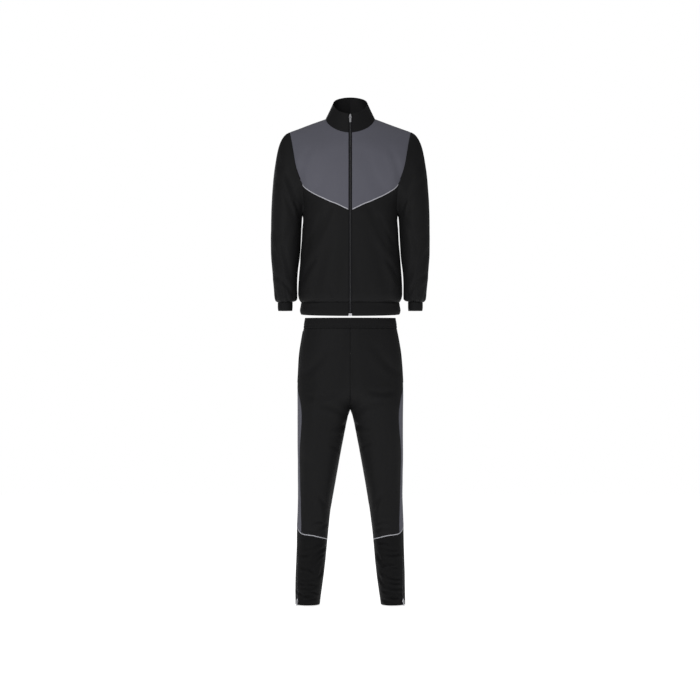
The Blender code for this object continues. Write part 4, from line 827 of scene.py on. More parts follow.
def jacket_grids():
    """Grids of the right half of the jacket body, and the grid parameters of their edges."""
    columns = stops(0, BODY_COLUMNS, 1 / 6, (0, BODY_COLUMNS), (0.035, 0.09, 0.17))
    yoke_rows = stops(0, YOKE_ROWS, 1 / 10, (0, YOKE_ROWS), (0.025, 0.06, 0.11))
    side_rows = stops(0, SIDE_ROWS, 1 / 11, (0, SIDE_ROWS), (0.025, 0.06, 0.11))
    armpit_rows = stops(0, ARMPIT_ROWS, 1 / 8, (0, ARMPIT_ROWS), (0.03, 0.07, 0.13))
    back_rows = stops(0, BACK_ARM_ROWS, 1 / 9, (0, BACK_ARM_ROWS), (0.03, 0.07, 0.13))
    seam = at_length(CHEST_SEAM, columns / BODY_COLUMNS)
    arm_yoke = at_length(ARMHOLE_YOKE, yoke_rows / YOKE_ROWS)
    arm_front = at_length(ARMHOLE_FRONT, armpit_rows / ARMPIT_ROWS)
    arm_back = at_length(ARMHOLE_BACK, back_rows / BACK_ARM_ROWS)
    top = shoulder_z(ARMHOLE_YOKE["x"][-1])
    arm_yoke[-1, 1] = top
    arm_back[-1, 1] = top
    across = columns / BODY_COLUMNS
    neck = columns <= NECK_COLUMNS
    past_neck = (columns[~neck] - NECK_COLUMNS) / SHOULDER_COLUMNS
    shoulder_x = NECK_HALF + (ARMHOLE_YOKE["x"][-1] - NECK_HALF) * past_neck
    shoulder = np.stack([shoulder_x, shoulder_z(shoulder_x)], 1)
    crown = np.concatenate([neck_front(columns[neck] / NECK_COLUMNS), shoulder])
    rise = seam[0, 1] + (crown[0, 1] - seam[0, 1]) * yoke_rows / YOKE_ROWS
    yoke = body_panel(-1, across, seam, crown, np.stack([np.full(len(rise), ZIP_HALF), rise], 1), arm_yoke)

    side_z = np.interp(side_rows, np.arange(SIDE_ROWS + 1), SIDE_SEAM_Z)
    side = np.stack([along(TORSO, "z", "half_width", side_z), side_z], 1)
    front_rows = np.concatenate([side_rows, SIDE_ROWS + armpit_rows[1:]])
    zip_z = np.interp(front_rows, np.arange(len(ZIP_EDGE_Z)), ZIP_EDGE_Z)
    zip_edge = np.stack([np.full(len(zip_z), ZIP_HALF), zip_z], 1)
    hem_z = np.full(len(columns), HEM_SEAM_Z)
    start = to_turn(ZIP_HALF, HEM_SEAM_Z)
    hem = np.stack([from_turn(start + (1 - start) * across, hem_z), hem_z], 1)
    front = body_panel(-1, across, hem, seam, zip_edge, np.concatenate([side, arm_front[1:]]))

    outer = np.concatenate([side, arm_back[1:]])
    crown = np.concatenate([neck_back(columns[neck] / NECK_COLUMNS), shoulder])
    share = (outer[:, 1] - outer[0, 1]) / (outer[-1, 1] - outer[0, 1])
    middle = np.stack([np.zeros(len(outer)), HEM_SEAM_Z + share * (crown[0, 1] - HEM_SEAM_Z)], 1)
    hem = np.stack([from_turn(across, hem_z), hem_z], 1)
    back = body_panel(1, across, hem, crown, middle, outer)
    turns = np.concatenate([YOKE_ROWS - yoke_rows[::-1], YOKE_ROWS + ARMPIT_ROWS - armpit_rows[-2::-1],
                            YOKE_ROWS + ARMPIT_ROWS + back_rows[1:]])
    loop = np.concatenate([yoke[::-1, -1], front[-2 : -len(armpit_rows) - 1 : -1, -1],
                           back[-len(back_rows) + 1 :, -1]])
    return {"yoke": yoke, "front": front, "back": back, "neck": neck, "columns": columns,
            "loop": loop[:-1], "turn": turns[:-1] * 2 * math.pi / SLEEVE_COLUMNS}


def collar_grid(half):
    """Rings of the stand collar: straight from its seam to its rim, which is an ellipse tilted forwards."""
    front = half["yoke"][-1, half["neck"]]
    rear = half["back"][-1, half["neck"]]
    base = np.concatenate([front, rear[-2::-1]])
    base = np.concatenate([base, mirrored(base)[-2::-1]])
    share = (front[:, 0] - ZIP_HALF) / (NECK_HALF - ZIP_HALF)
    turn = np.arcsin(np.clip((ZIP_HALF + (COLLAR_TOP_HALF - ZIP_HALF) * share) / COLLAR_TOP_HALF, 0, 1))
    turn = np.concatenate([turn, math.pi - np.arcsin(np.clip(rear[-2::-1, 0] / NECK_HALF, 0, 1))])
    rim_z = COLLAR_TOP_Z - COLLAR_TOP_TILT * np.cos(turn) + COLLAR_SIDE_RISE * np.sin(turn) ** 2
    rim_y = COLLAR_TOP_LEAN - COLLAR_TOP_DEPTH * np.cos(turn)
    rim = np.stack([COLLAR_TOP_HALF * np.sin(turn), rim_y, rim_z], 1)
    rim = np.concatenate([rim, mirrored(rim)[-2::-1]])
    rows = stops(0, 1, 1 / 16, (0, 1), (0.02, 0.05))[:, None, None]
    grid = base + (rim - base) * rows
    grid[:, 0, 0] = ZIP_HALF
    grid[:, -1, 0] = -ZIP_HALF
    return grid


def band_grid(half):
    """Rings of the hem band: the hem line swelled by its table and let down to a sloping lower edge."""
    line = np.concatenate([half["front"][0], half["back"][0][-2::-1]])
    top = np.concatenate([line, mirrored(line)[-2::-1]])
    forward = np.clip(-top[:, 1] / TORSO["front"][-1], 0, 1)
    bottom_z = BAND_SIDE_Z + (BAND_FRONT_Z - BAND_SIDE_Z) * forward
    rows = stops(0, 1, 1 / 14, (0, 1), (0.02, 0.05))[:, None]
    swell = along(BAND, "share", "swell", rows)
    x = top[:, 0] * swell
    x[:, 0] = ZIP_HALF
    x[:, -1] = -ZIP_HALF
    return np.stack([x, top[:, 1] * swell, top[:, 2] + (bottom_z - top[:, 2]) * rows], -1)


def make_jacket(look):
    """Settled panels of the jacket."""
    half = jacket_grids()
    back = np.concatenate([mirrored(half["back"])[:, :0:-1], half["back"]], 1)
    sleeve_rows = stops(0, 17, 1 / 10, (0, 17), (0.02, 0.05, 0.1))
    sleeve = tube_rings(SLEEVE, sleeve_rows, half["turn"], half["loop"])
    cuff = tube_rings(CUFF, stops(0, 2, 1 / 7, (0, 2), (0.03, 0.08)), half["turn"])
    wall = look.cloth_wall * 1000
    rib = look.rib_wall * 1000
    cloth = Cloth()
    body = {"front": JACKET_FRONT_FOLDS, "back": JACKET_BACK_FOLDS}
    cloth.add("jacket_back", back, "black_cloth", "tblr", wall=wall, **body)
    cloth.add("collar", collar_grid(half), "black_cloth", "t", wall=rib, drift=0.3)
    cloth.add("hem_band", band_grid(half), "black_rib", "t", wall=rib, drift=0.6, **body)
    for side, flip in (("right", np.array), ("left", mirrored)):
        cloth.add("yoke_" + side, flip(half["yoke"]), "grey_cloth", "tbr", wall=wall, **body)
        cloth.add("jacket_front_" + side, flip(half["front"]), "black_cloth", "tbr", wall=wall, **body)
        cloth.add("sleeve_" + side, flip(sleeve), "black_cloth", "tb", closed=True, wall=wall,
                  front=SLEEVE_FRONT_FOLDS, back=SLEEVE_BACK_FOLDS)
        cloth.add("cuff_" + side, flip(cuff), "black_rib", "t", closed=True, wall=rib, drift=0.3)
        tip = np.array([along(TORSO, "z", "half_width", ARMPIT_Z), 0, ARMPIT_Z])
        tip[1] = SHOULDER_LEAN * (1 - tip[0] / ARMHOLE_YOKE["x"][-1])
        cloth.fixed.append((flip(tip), np.array([0.0, 0.0, -1.0])))
    cloth.settle(JACKET_SEED, look.fold_strength)
    return cloth


def make_trousers(look):
    """Settled panels of the trousers."""
    knots = np.arange(len(KNEE_SAMPLES))
    last = len(KNEE_SAMPLES) - 1
    samples = stops(0, last, 1 / 6, (0, SIDE_COLUMNS, STRIPE_COLUMNS, last), (0.045, 0.11, 0.2))
    knee = np.interp(samples, knots, KNEE_SAMPLES)

    def shares(start, end):
        part = knee[(samples >= start) & (samples <= end)]
        return (part - part[0]) / (part[-1] - part[0])

    back_shares = stops(0, 1, 1 / 64, (0, 1), (0.004, 0.01, 0.02))
    upper = stops(0, KNEE_ROW, 1 / 11, (0, KNEE_ROW), (0.022, 0.055, 0.1))
    lower = stops(KNEE_ROW, LAST_ROW, 1 / 8, (KNEE_ROW,), (0.03, 0.08, 0.15))
    stripe_rows = upper[upper >= STRIPE_TOP_ROW]
    stripe = leg_panel(stripe_rows, stripe_back, stripe_front, shares(0, STRIPE_COLUMNS))
    stripe[0] = stripe[0, 0] + (stripe[1] - stripe[0, 0]) * STRIPE_TIP
    back_top = leg_panel(upper, stripe_back, back_inseam, back_shares)
    back_low = leg_panel(lower, calf_back, back_inseam, back_shares)
    grids = {
        "trousers_front": (leg_panel(upper, stripe_front, inner_angle, shares(STRIPE_COLUMNS, last)), "tblr"),
        "side_stripe": (stripe, "blr"),
        "lower_front": (leg_panel(lower, shin_seam, inner_angle, shares(SIDE_COLUMNS, last)), "tlr"),
        "lower_side": (leg_panel(lower, calf_back, shin_seam, shares(0, SIDE_COLUMNS)), "tlr"),
        "trousers_back": (np.concatenate([back_top, back_low[1:]]), "tlr"),
    }
    cloth = Cloth()
    for side, flip in (("right", np.array), ("left", mirrored)):
        for name, (grid, seams) in grids.items():
            material = {"side_stripe": "grey_cloth", "lower_front": "dark_cloth",
                        "lower_side": "dark_cloth"}.get(name, "black_cloth")
            placed = flip(grid)
            cloth.add(name + "_" + side, placed, material, seams, wall=look.cloth_wall * 1000,
                      front=TROUSER_FRONT_FOLDS + SHIN_FOLDS, back=TROUSER_BACK_FOLDS + CALF_BACK_FOLDS,
                      extra=gather_height(placed, look.gathers))
    cloth.fixed.append((np.array([0.0, 0.0, CROTCH_Z]), np.array([0.0, 0.0, -1.0])))
    cloth.settle(TROUSERS_SEED, look.fold_strength)
    return cloth


def gather_height(points, gathers):
    """Small gathers below the waist seam: a sine wave round the waist, uneven in height, that fades with
    the drop from the seam."""
    turn = np.arctan2(points[..., 1], points[..., 0])
    drop = WAISTBAND["z"][-1] - points[..., 2]
    uneven = 0.6 + 0.4 * np.sin(turn * 7 + 1.0) * np.sin(turn * 17 + 0.4)
    reach = 16 + 12 * np.sin(turn * 11 + 2.0) ** 2
    return 1.1 * uneven * np.exp(-np.clip(drop, 0, None) / reach) * np.sin(turn * gathers * 0.5)


def make_waistband(look, materials):
    """Waistband: superellipse rings from its table, with a wave of gathers that is pinched flat along a
    line of stitching."""
    count = look.gathers * 8
    turn = np.linspace(0, 2 * math.pi, count, endpoint=False)
    z = -stops(-WAISTBAND["z"][0], -WAISTBAND["z"][-1], 1.6, (STITCH_DROP,), (0.8, 1.8))[:, None]
    cosine = np.cos(turn)
    sine = np.sin(turn)
    depth = np.where(sine > 0, along(WAISTBAND, "z", "front", z), along(WAISTBAND, "z", "back", z))
    x = along(WAISTBAND, "z", "half_width", z) * np.sign(cosine) * np.abs(cosine) ** (2 / LEG_POWER)
    y = -depth * np.sign(sine) * np.abs(sine) ** (2 / LEG_POWER)
    grid = np.stack([x, y, np.broadcast_to(z, x.shape)], -1)
    normal = slopes(grid, True)
    if np.mean(normal[..., 0] * grid[..., 0]) < 0:
        normal = -normal
    place = turn * look.gathers + 0.5 * np.sin(turn * 9) + 0.3 * np.sin(turn * 23 + 1)
    uneven = 0.75 + 0.25 * np.sin(turn * 13 + 0.7) * np.sin(turn * 31)
    wave = 0.6 * uneven * (np.abs(np.sin(place / 2)) ** 0.7 * 2 - 1)
    stitch = 1 - 0.75 * np.exp(-(((z + STITCH_DROP) / 2.2) ** 2)) - 0.6 * np.exp(-(((z + 749.5) / 1.6) ** 2))
    pinch = 0.7 * np.exp(-(((z + STITCH_DROP) / 1.6) ** 2))
    grid = grid + normal * (0.9 + 0.95 * wave * stitch - pinch)[..., None]
    thing = make_shell("waistband_cloth", grid, normal, True, look.cloth_wall * 1000, materials["black_rib"])
    finish_cloth(thing, ("waistband",))


def way_across(line, normal):
    """Unit directions across a line of points, in the cloth."""
    way = np.cross(normal, np.gradient(line, axis=0))
    return way / np.linalg.norm(way, axis=1, keepdims=True)


def resampled(line, normal, step):
    """A line of points and its normals at even steps of length."""
    run = np.concatenate([[0], np.cumsum(np.linalg.norm(np.diff(line, axis=0), axis=1))])
    place = np.linspace(0, run[-1], max(int(run[-1] / step), 2) + 1)
    line = np.stack([np.interp(place, run, line[:, k]) for k in range(3)], 1)
    normal = np.stack([np.interp(place, run, normal[:, k]) for k in range(3)], 1)
    return line, normal / np.linalg.norm(normal, axis=1, keepdims=True)


def ride_as(thing):
    """Lets a trim ride the suit."""
    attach(thing, BODY)


def make_cord(name, line, normal, half_width, height, lift, material, sides=12):
    """Piping: an ellipse carried along a line of points, closed by its end points."""
    way = way_across(line, normal)
    turn = np.linspace(0, 2 * math.pi, sides, endpoint=False)
    middle = line + normal * (lift + height / 2)
    ends = np.ones(len(line))
    ends[[0, -1]] = 0.05
    ends[[1, -2]] = 0.75
    ring = (way[:, None] * (half_width * np.cos(turn))[None, :, None]
            + normal[:, None] * (height / 2 * np.sin(turn))[None, :, None]) * ends[:, None, None]
    grid = middle[:, None] + ring
    return make_tube(name, grid, material)


def make_tube(name, grid, material):
    """Closed tube from rings of points, with a fan over each end."""
    rows, sides = grid.shape[:2]
    points = np.concatenate([grid.reshape(-1, 3), grid[0].mean(0)[None], grid[-1].mean(0)[None]])
    index = np.arange(rows * sides).reshape(rows, sides)
    index = np.concatenate([index, index[:, :1]], 1)
    cells = quads(index)
    tris = np.concatenate([cells[:, [0, 1, 2]], cells[:, [0, 2, 3]]])
    first = np.stack([index[0, :-1], index[0, 1:], np.full(sides, rows * sides)], 1)
    last = np.stack([index[-1, 1:], index[-1, :-1], np.full(sides, rows * sides + 1)], 1)
    tris = np.concatenate([tris, first, last])
    a, b, c = (points[tris[:, k]] for k in range(3))
    if np.sum(a * np.cross(b, c)) < 0:
        tris = tris[:, ::-1]
    return make_mesh(name, points, tris, material)


def strip_grid(line, way, first, last, count=4):
    """Grid across a strip between two distances to the side of a line."""
    share = np.linspace(first, last, count)
    return line[:, None] + way[:, None] * share[None, :, None]


def make_teeth(name, line, normal, way, half_width, height, pitch, material):
    """Two rows of small chamfered blocks that mesh along a line, each row half a pitch behind the other."""
    line, normal = resampled(line, normal, pitch / 2)
    way = np.broadcast_to(way, line.shape) if np.ndim(way) == 1 else way_across(line, normal)
    down = np.gradient(line, axis=0)
    down /= np.linalg.norm(down, axis=1, keepdims=True)
    corner = np.array([(x, y, z) for z, size in ((0, 1), (0.6, 1), (1, 0.62)) for x, y in
                       ((-size, -size), (size, -size), (size, size), (-size, size))])
    side = np.where(np.arange(len(line)) % 2 == 0, 1.0, -1.0)
    centre = line + way * (side * half_width * 0.36)[:, None]
    points = (centre[:, None] + way[:, None] * corner[None, :, :1] * half_width * 0.62
              + down[:, None] * corner[None, :, 1:2] * pitch * 0.2
              + normal[:, None] * corner[None, :, 2:] * height)
    ring = [(k, (k + 1) % 4) for k in range(4)]
    block = [(a + lift, b + lift, b + lift + 4, a + lift + 4) for lift in (0, 4) for a, b in ring]
    block = np.array(block + [(8, 9, 10, 11), (3, 2, 1, 0)])
    faces = (block[None] + 12 * np.arange(len(line))[:, None, None]).reshape(-1, 4)
    first = faces[:10]
    flat = points.reshape(-1, 3)
    a, b, c, d = (flat[first[:, k]] - flat[:12].mean(0) for k in range(4))
    if np.sum(a * np.cross(b, c)) + np.sum(a * np.cross(c, d)) < 0:
        faces = faces[:, ::-1]
    return make_mesh(name, flat, faces, material)


def edge_line(piece, nearest):
    """Side edge of a panel whose first point lies nearest to a width, from its top down."""
    grid = piece["grid"]
    column = 0 if abs(abs(grid[0, 0, 0]) - nearest) < abs(abs(grid[0, -1, 0]) - nearest) else -1
    line, normal = grid[:, column], piece["normal"][:, column]
    return (line[::-1], normal[::-1]) if line[0, 2] < line[-1, 2] else (line, normal)


def front_zip_line(cloth):
    """Middle line of the front zip, from the collar rim down, as the mean of its two edges."""
    points, normals = [], []
    for name in ("collar", "yoke", "jacket_front", "hem_band"):
        if name in cloth.pieces:
            grid = cloth.pieces[name]["grid"]
            normal = cloth.pieces[name]["normal"]
            line, turn = (grid[:, 0] + grid[:, -1]) / 2, (normal[:, 0] + normal[:, -1]) / 2
        else:
            one, two = (edge_line(cloth.pieces[name + "_" + side], 0.0) for side in ("left", "right"))
            line, turn = (one[0] + two[0]) / 2, (one[1] + two[1]) / 2
        if line[0, 2] < line[-1, 2]:
            line, turn = line[::-1], turn[::-1]
        skip = 1 if points else 0
        points.append(line[skip:])
        normals.append(turn[skip:])
    points = np.concatenate(points)
    normals = np.concatenate(normals)
    points[:, 0] = 0
    normals[:, 0] = 0
    return resampled(points, normals, LINE_STEP)


def strip_shell(name, grid, normal, wall, material):
    """Open shell over a strip whose columns share the normals of its line."""
    return make_shell(name, grid, np.broadcast_to(normal[:, None], grid.shape), False, wall, material)


def make_front_zip(cloth, look, materials):
    """Two tapes, the core between them and the teeth of the front zip."""
    line, normal = front_zip_line(cloth)
    line, normal = line[1:-1], normal[1:-1]
    right = np.array([1.0, 0.0, 0.0])
    across = np.broadcast_to(right, line.shape)
    inner = CHAIN_HALF + TAPE_CLEARANCE
    for name, first, last in (("right", inner, TAPE_EDGE), ("left", -TAPE_EDGE, -inner)):
        grid = strip_grid(line, across, first, last)
        node = "zip_tape_" + name
        tape = strip_shell(node + "_cloth", grid, normal, TAPE_WALL, materials["zip_tape"])
        finish_cloth(tape, (node,))
    core = strip_grid(line, across, -CHAIN_HALF, CHAIN_HALF)
    ride_as(strip_shell("zip_core", core, normal, TAPE_WALL, materials["zip_tape"]))
    teeth = make_teeth("zip_coil", line + normal * 0.4, normal, right, CHAIN_HALF, 1.3,
                       look.tooth_pitch * 1000, materials["zip_teeth"])
    ride_as(teeth)
    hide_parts("zip_chain")


def row_line(piece, row, outward):
    """One row of a panel and its normals, from the middle outwards or from the outside in."""
    line, normal = piece["grid"][row], piece["normal"][row]
    rising = abs(line[0, 0]) < abs(line[-1, 0])
    return (line, normal) if rising == outward else (line[::-1], normal[::-1])


def make_pipings(jacket, trousers, look, materials):
    """Light cords in the chest seams and round the knee seams."""
    light = materials["light_piping"]
    for side in ("left", "right"):
        line, normal = row_line(jacket.pieces["yoke_" + side], 0, True)
        line, normal = resampled(line, normal, LINE_STEP)
        cord = make_cord("yoke_piping_" + side + "_cord", line[:-1], normal[:-1],
                         look.piping_width * 500, 1.9, 0.2, light)
        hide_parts("yoke_piping_" + side)
        outer = trousers.pieces["lower_side_" + side]
        shin = trousers.pieces["lower_front_" + side]
        first, first_normal = outer["grid"][0], outer["normal"][0]
        if first[0, 1] < first[-1, 1]:
            first, first_normal = first[::-1], first_normal[::-1]
        second, second_normal = row_line(shin, 0, False)
        line = np.concatenate([first, second[1:]])
        normal = np.concatenate([first_normal, second_normal[1:]])
        line, normal = resampled(line, normal, LINE_STEP)
        knee = make_cord("knee_piping_" + side + "_cord", line[1:-1], normal[1:-1],
                         look.piping_width * 475, 1.7, 0.2, light)
        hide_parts("knee_piping_" + side)
        ride_as(cord)
        ride_as(knee)


def make_ankle_zips(trousers, look, materials):
    """Tape and teeth of each ankle zip, on the seam between the shin piece and the outer piece."""
    for side in ("left", "right"):
        line, normal = edge_line(trousers.pieces["lower_front_" + side], ANKLE_ZIP_X)
        keep = (line[:, 2] < ANKLE_ZIP_TOP_Z) & (line[:, 2] > ANKLE_Z + 1)
        line, normal = resampled(line[keep], normal[keep], LINE_STEP)
        way = way_across(line, normal)
        grid = strip_grid(line, way, -ANKLE_TAPE_HALF, ANKLE_TAPE_HALF) + (normal * 1.6)[:, None]
        node = "ankle_zip_" + side
        tape = strip_shell(node + "_cloth", grid, normal, TAPE_WALL, materials["zip_tape"])
        finish_cloth(tape, (node,))
        teeth = make_teeth("ankle_coil_" + side, line + normal * 2.0, normal, way, 1.9, 0.9,
                           look.tooth_pitch * 1000, materials["zip_teeth"])
        ride_as(teeth)


def make_pocket_welts(trousers, materials):
    """Narrow raised strip along the front edge of each side pocket, turned towards the front panel."""
    for side in ("left", "right"):
        piece = trousers.pieces["trousers_front_" + side]
        line, normal = edge_line(piece, POCKET_X)
        at_start = np.allclose(piece["grid"][0, 0], line[0])
        beside = piece["grid"][:, 4 if at_start else -5]
        keep = (line[:, 2] < POCKET_TOP_Z) & (line[:, 2] > POCKET_END_Z)
        line, normal = resampled(line[keep], normal[keep], LINE_STEP)
        way = way_across(line, normal)
        inward = beside[np.argmin(np.abs(beside[:, 2] - line[0, 2]))] - line[0]
        way = way * np.sign(np.sum(way[0] * inward))
        grid = strip_grid(line, way, WELT_INNER, WELT_OUTER, WELT_COLUMNS)
        share = np.linspace(0, 1, WELT_COLUMNS)
        lift = 1.6 + 0.5 * np.sin(np.linspace(0, math.pi, WELT_COLUMNS)) - 0.5 * share**8
        grid = grid + normal[:, None] * lift[None, :, None]
        node = "pocket_welt_" + side
        welt = strip_shell(node + "_cloth", grid, normal, WELT_WALL, materials["black_cloth"])
        finish_cloth(welt, (node,))


# Each finish: colour setting, roughness, specular level, sheen, scale of the weave and its bump
FINISHES = {
    "black_cloth": ("cloth_colour", 0.6, 0.06, 0.015, 1500.0, 0.12),
    "dark_cloth": ("shin_colour", 0.6, 0.06, 0.015, 1500.0, 0.12),
    "black_rib": ("rib_colour", 0.7, 0.06, 0.015, 1300.0, 0.15),
    "grey_cloth": ("yoke_colour", 0.66, 0.15, 0.03, 1500.0, 0.12),
    "light_piping": ("piping_colour", 0.45, 0.4, 0.0, 0.0, 0.0),
    "zip_tape": ("tape_colour", 0.8, 0.08, 0.0, 1800.0, 0.2),
    "zip_teeth": ("teeth_colour", 0.4, 0.4, 0.0, 0.0, 0.0),
}


def make_materials(look):
    """Principled finishes, the woven ones with fine noise on the cloth's own UV lengths as bump."""
    made = {}
    for name, (tint, rough, spec, sheen, weave, strength) in FINISHES.items():
        material = bpy.data.materials.new(name)
        material.use_nodes = True
        tree = material.node_tree
        shader = tree.nodes["Principled BSDF"]
        shader.inputs["Base Color"].default_value = (*getattr(look, tint), 1)
        shader.inputs["Roughness"].default_value = rough
        shader.inputs["Specular IOR Level"].default_value = spec
        shader.inputs["Sheen Weight"].default_value = sheen
        shader.inputs["Sheen Roughness"].default_value = 0.4
        if weave:
            place = tree.nodes.new("ShaderNodeTexCoord")
            noise = tree.nodes.new("ShaderNodeTexNoise")
            noise.inputs["Scale"].default_value = weave
            noise.inputs["Detail"].default_value = 2.0
            bump = tree.nodes.new("ShaderNodeBump")
            bump.inputs["Strength"].default_value = strength
            bump.inputs["Distance"].default_value = 0.0003
            tree.links.new(place.outputs["UV"], noise.inputs["Vector"])
            tree.links.new(noise.outputs["Fac"], bump.inputs["Height"])
            tree.links.new(bump.outputs["Normal"], shader.inputs["Normal"])
        made[name] = material
    metal = bpy.data.materials.new("zip_metal")
    metal.use_nodes = True
    shader = metal.node_tree.nodes["Principled BSDF"]
    shader.inputs["Base Color"].default_value = (*look.metal_colour, 1)
    shader.inputs["Metallic"].default_value = 0.9
    shader.inputs["Roughness"].default_value = 0.35
    made["zip_metal"] = metal
    return made


def colour(name, words, value):
    return bpy.props.FloatVectorProperty(name=name, description=words, subtype="COLOR", size=3, min=0, max=1,
                                         default=value)


def length(name, words, value):
    return bpy.props.FloatProperty(name=name, description=words, default=value, min=0, unit="LENGTH",
                                   precision=4)


def power(name, words, value):
    return bpy.props.FloatProperty(name=name, description=words, default=value, min=0, unit="POWER")


class TrackSuitLook(bpy.types.PropertyGroup):
    """Sizes and colours of the cloth and its trims."""

    cloth_colour: colour("Cloth", "Colour of the main cloth", (0.0092, 0.0092, 0.0096))
    shin_colour: colour("Lower legs", "Colour of the panels below the knee", (0.0052, 0.0052, 0.0055))
    rib_colour: colour("Bands", "Colour of the cuffs and bands", (0.0085, 0.0085, 0.0089))
    yoke_colour: colour("Yokes and stripes", "Colour of the yokes and side stripes", (0.088, 0.088, 0.108))
    piping_colour: colour("Piping", "Colour of the piping", (0.36, 0.36, 0.39))
    tape_colour: colour("Zip tape", "Colour of the zip tapes", (0.008, 0.008, 0.009))
    teeth_colour: colour("Zip teeth", "Colour of the zip teeth", (0.03, 0.03, 0.033))
    metal_colour: colour("Zip heads", "Colour of the sliders and pulls", (0.42, 0.42, 0.44))
    cloth_wall: length("Cloth wall", "Thickness of the main cloth", 0.0015)
    rib_wall: length("Band wall", "Thickness of the collar, cuffs and bands", 0.0021)
    piping_width: length("Piping width", "Width of the yoke piping", 0.004)
    tooth_pitch: length("Tooth pitch", "Step from one zip tooth to the next in its row", 0.0032)
    gathers: bpy.props.IntProperty(name="Gathers", description="Number of gathers round the waistband",
                                   default=96, min=24, max=160)
    fold_strength: bpy.props.FloatProperty(name="Folds", description="Depth of the folds against their table",
                                           default=1.0, min=0, max=2, subtype="FACTOR")


class TrackSuitStage(bpy.types.PropertyGroup):
    """Camera, floor and lights."""

    camera_distance: length("Camera distance", "Distance of the camera in front of the suit", 8.0)
    picture_width: length("Picture width", "Width of the picture at the suit", 2.52)
    view_height: length("View height", "Depth of the camera below the shoulder line", 0.828)
    floor_gap: length("Floor gap", "Gap from the ankles to the floor", 0.004)
    sky: bpy.props.FloatProperty(name="Sky", description="Strength of the even light", default=0.2, min=0)
    key: power("Key light", "Power of the front left light", 92.0)
    fill: power("Fill light", "Power of the right, top and back lights", 21.0)


def made_once(name, make):
    """What make gives for the look's settings, made at the first call and kept."""
    if name not in MADE:
        MADE[name] = make(bpy.context.scene.tracksuit_look)
    return MADE[name]


class TRACKSUIT_OT_jacket(bpy.types.Operator):
    """Build the panels, sleeves, cuffs, collar and hem band of the jacket"""

    bl_idname = "tracksuit.jacket"
    bl_label = "Jacket cloth"

    def execute(self, context):
        made_once("jacket", make_jacket).build(made_once("materials", make_materials))
        return {"FINISHED"}


class TRACKSUIT_OT_front_zip(bpy.types.Operator):
    """Build the tapes and teeth of the front zip"""

    bl_idname = "tracksuit.front_zip"
    bl_label = "Front zip"

    def execute(self, context):
        materials = made_once("materials", make_materials)
        make_front_zip(made_once("jacket", make_jacket), context.scene.tracksuit_look, materials)
        return {"FINISHED"}


class TRACKSUIT_OT_trousers(bpy.types.Operator):
    """Build the panels and side stripes of the trousers"""

    bl_idname = "tracksuit.trousers"
    bl_label = "Trousers cloth"

    def execute(self, context):
        made_once("trousers", make_trousers).build(made_once("materials", make_materials))
        return {"FINISHED"}


class TRACKSUIT_OT_waistband(bpy.types.Operator):
    """Build the gathered waistband"""

    bl_idname = "tracksuit.waistband"
    bl_label = "Waistband"

    def execute(self, context):
        make_waistband(context.scene.tracksuit_look, made_once("materials", make_materials))
        return {"FINISHED"}


class TRACKSUIT_OT_trims(bpy.types.Operator):
    """Build the pipings, pocket welts and ankle zips"""

    bl_idname = "tracksuit.trims"
    bl_label = "Pipings, pockets and ankle zips"

    def execute(self, context):
        look = context.scene.tracksuit_look
        materials = made_once("materials", make_materials)
        trousers = made_once("trousers", make_trousers)
        make_pipings(made_once("jacket", make_jacket), trousers, look, materials)
        make_pocket_welts(trousers, materials)
        make_ankle_zips(trousers, look, materials)
        return {"FINISHED"}


class TRACKSUIT_OT_zip_heads(bpy.types.Operator):
    """Give the sliders, pulls and the zip's box their metal finish"""

    bl_idname = "tracksuit.zip_heads"
    bl_label = "Zip heads"

    def execute(self, context):
        metal = made_once("materials", make_materials)["zip_metal"]
        names = [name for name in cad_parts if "slider" in name or "pull" in name or name == "zip_box"]
        for name in names:
            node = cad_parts[name]
            node.data.materials.clear()
            node.data.materials.append(metal)
        return {"FINISHED"}


def add_light(name, place, target, size, power):
    """Square soft light that faces a point."""
    data = bpy.data.lights.new(name, "AREA")
    data.shape = "SQUARE"
    data.size = size
    data.energy = power
    thing = bpy.data.objects.new(name, data)
    bpy.context.scene.collection.objects.link(thing)
    thing.location = place
    way = np.array(target, float) - np.array(place, float)
    tilt = math.atan2(math.hypot(way[0], way[1]), -way[2])
    thing.rotation_euler = (tilt, 0, math.atan2(way[0], -way[1]) + math.pi)
    return thing


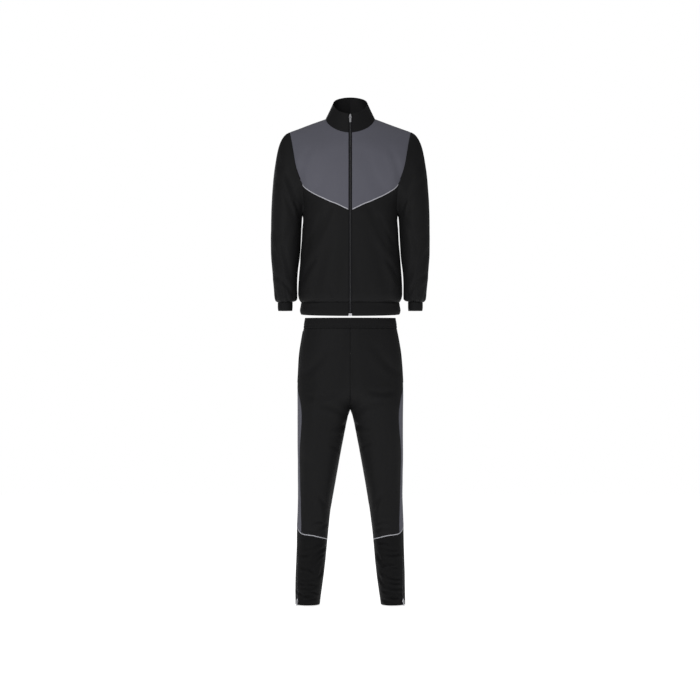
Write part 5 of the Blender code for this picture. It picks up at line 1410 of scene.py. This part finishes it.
class TRACKSUIT_OT_stage(bpy.types.Operator):
    """Build the floor, the lights and the camera"""

    bl_idname = "tracksuit.stage"
    bl_label = "Stage"

    def execute(self, context):
        stage = context.scene.tracksuit_stage
        floor_z = ANKLE_Z - stage.floor_gap * 1000
        corners = ((-6000, -9000), (6000, -9000), (6000, 6000), (-6000, 6000))
        points = np.array([(x, y, floor_z) for x, y in corners])
        pale = bpy.data.materials.new("pale_floor")
        pale.use_nodes = True
        shader = pale.node_tree.nodes["Principled BSDF"]
        shader.inputs["Base Color"].default_value = (0.95, 0.95, 0.95, 1)
        shader.inputs["Roughness"].default_value = 0.9
        shader.inputs["Specular IOR Level"].default_value = 0.1
        shader.inputs["Emission Color"].default_value = (1, 1, 1, 1)
        shader.inputs["Emission Strength"].default_value = 0.8
        floor = make_mesh("floor", points, np.array([[0, 1, 2, 3]]), pale)

        world = bpy.data.worlds.new("studio")
        world.use_nodes = True
        tree = world.node_tree
        tree.nodes.clear()
        output = tree.nodes.new("ShaderNodeOutputWorld")
        mix = tree.nodes.new("ShaderNodeMixShader")
        path = tree.nodes.new("ShaderNodeLightPath")
        light = tree.nodes.new("ShaderNodeBackground")
        seen = tree.nodes.new("ShaderNodeBackground")
        light.inputs["Color"].default_value = (1, 1, 1, 1)
        light.inputs["Strength"].default_value = stage.sky
        seen.inputs["Color"].default_value = (1, 1, 1, 1)
        seen.inputs["Strength"].default_value = 1.0
        tree.links.new(path.outputs["Is Camera Ray"], mix.inputs[0])
        tree.links.new(light.outputs[0], mix.inputs[1])
        tree.links.new(seen.outputs[0], mix.inputs[2])
        tree.links.new(mix.outputs[0], output.inputs["Surface"])
        context.scene.world = world
        context.scene.view_settings.view_transform = "Standard"

        middle = (0, 0, -0.8)
        add_light("key_light", (-2.0, -3.9, 1.1), middle, 1.8, stage.key)
        add_light("fill_light", (3.2, -2.6, -0.4), middle, 2.4, stage.fill)
        add_light("top_light", (0, 0.6, 2.6), middle, 2.6, stage.fill)
        add_light("back_light", (-1.6, 3.6, 0.6), middle, 2.4, stage.fill)

        camera = bpy.data.cameras.new("camera")
        camera.sensor_width = 36.0
        camera.lens = 36.0 * stage.camera_distance / stage.picture_width
        thing = bpy.data.objects.new("camera", camera)
        context.scene.collection.objects.link(thing)
        thing.location = (-0.001, -stage.camera_distance, -stage.view_height)
        thing.rotation_euler = (math.pi / 2, 0, 0)
        context.scene.camera = thing
        return {"FINISHED"}


PARTS = (TRACKSUIT_OT_jacket, TRACKSUIT_OT_front_zip, TRACKSUIT_OT_trousers, TRACKSUIT_OT_waistband,
         TRACKSUIT_OT_trims, TRACKSUIT_OT_zip_heads, TRACKSUIT_OT_stage)


class TRACKSUIT_PT_panel(bpy.types.Panel):
    """Lists the tracksuit's operators and settings"""

    bl_label = "Tracksuit"
    bl_idname = "TRACKSUIT_PT_panel"
    bl_space_type = "VIEW_3D"
    bl_region_type = "UI"
    bl_category = "Tracksuit"

    def draw(self, context):
        for part in PARTS:
            self.layout.operator(part.bl_idname)
        for group in (context.scene.tracksuit_look, context.scene.tracksuit_stage):
            for name in group.__annotations__:
                self.layout.prop(group, name)


CLASSES = (TrackSuitLook, TrackSuitStage, *PARTS, TRACKSUIT_PT_panel)


def register():
    for one in CLASSES:
        bpy.utils.register_class(one)
    bpy.types.Scene.tracksuit_look = bpy.props.PointerProperty(type=TrackSuitLook)
    bpy.types.Scene.tracksuit_stage = bpy.props.PointerProperty(type=TrackSuitStage)


def unregister():
    del bpy.types.Scene.tracksuit_stage
    del bpy.types.Scene.tracksuit_look
    for one in reversed(CLASSES):
        bpy.utils.unregister_class(one)


def main():
    """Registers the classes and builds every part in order."""
    register()
    for part in PARTS:
        group, name = part.bl_idname.split(".")
        getattr(getattr(bpy.ops, group), name)()


if __name__ == "__main__":
    main()
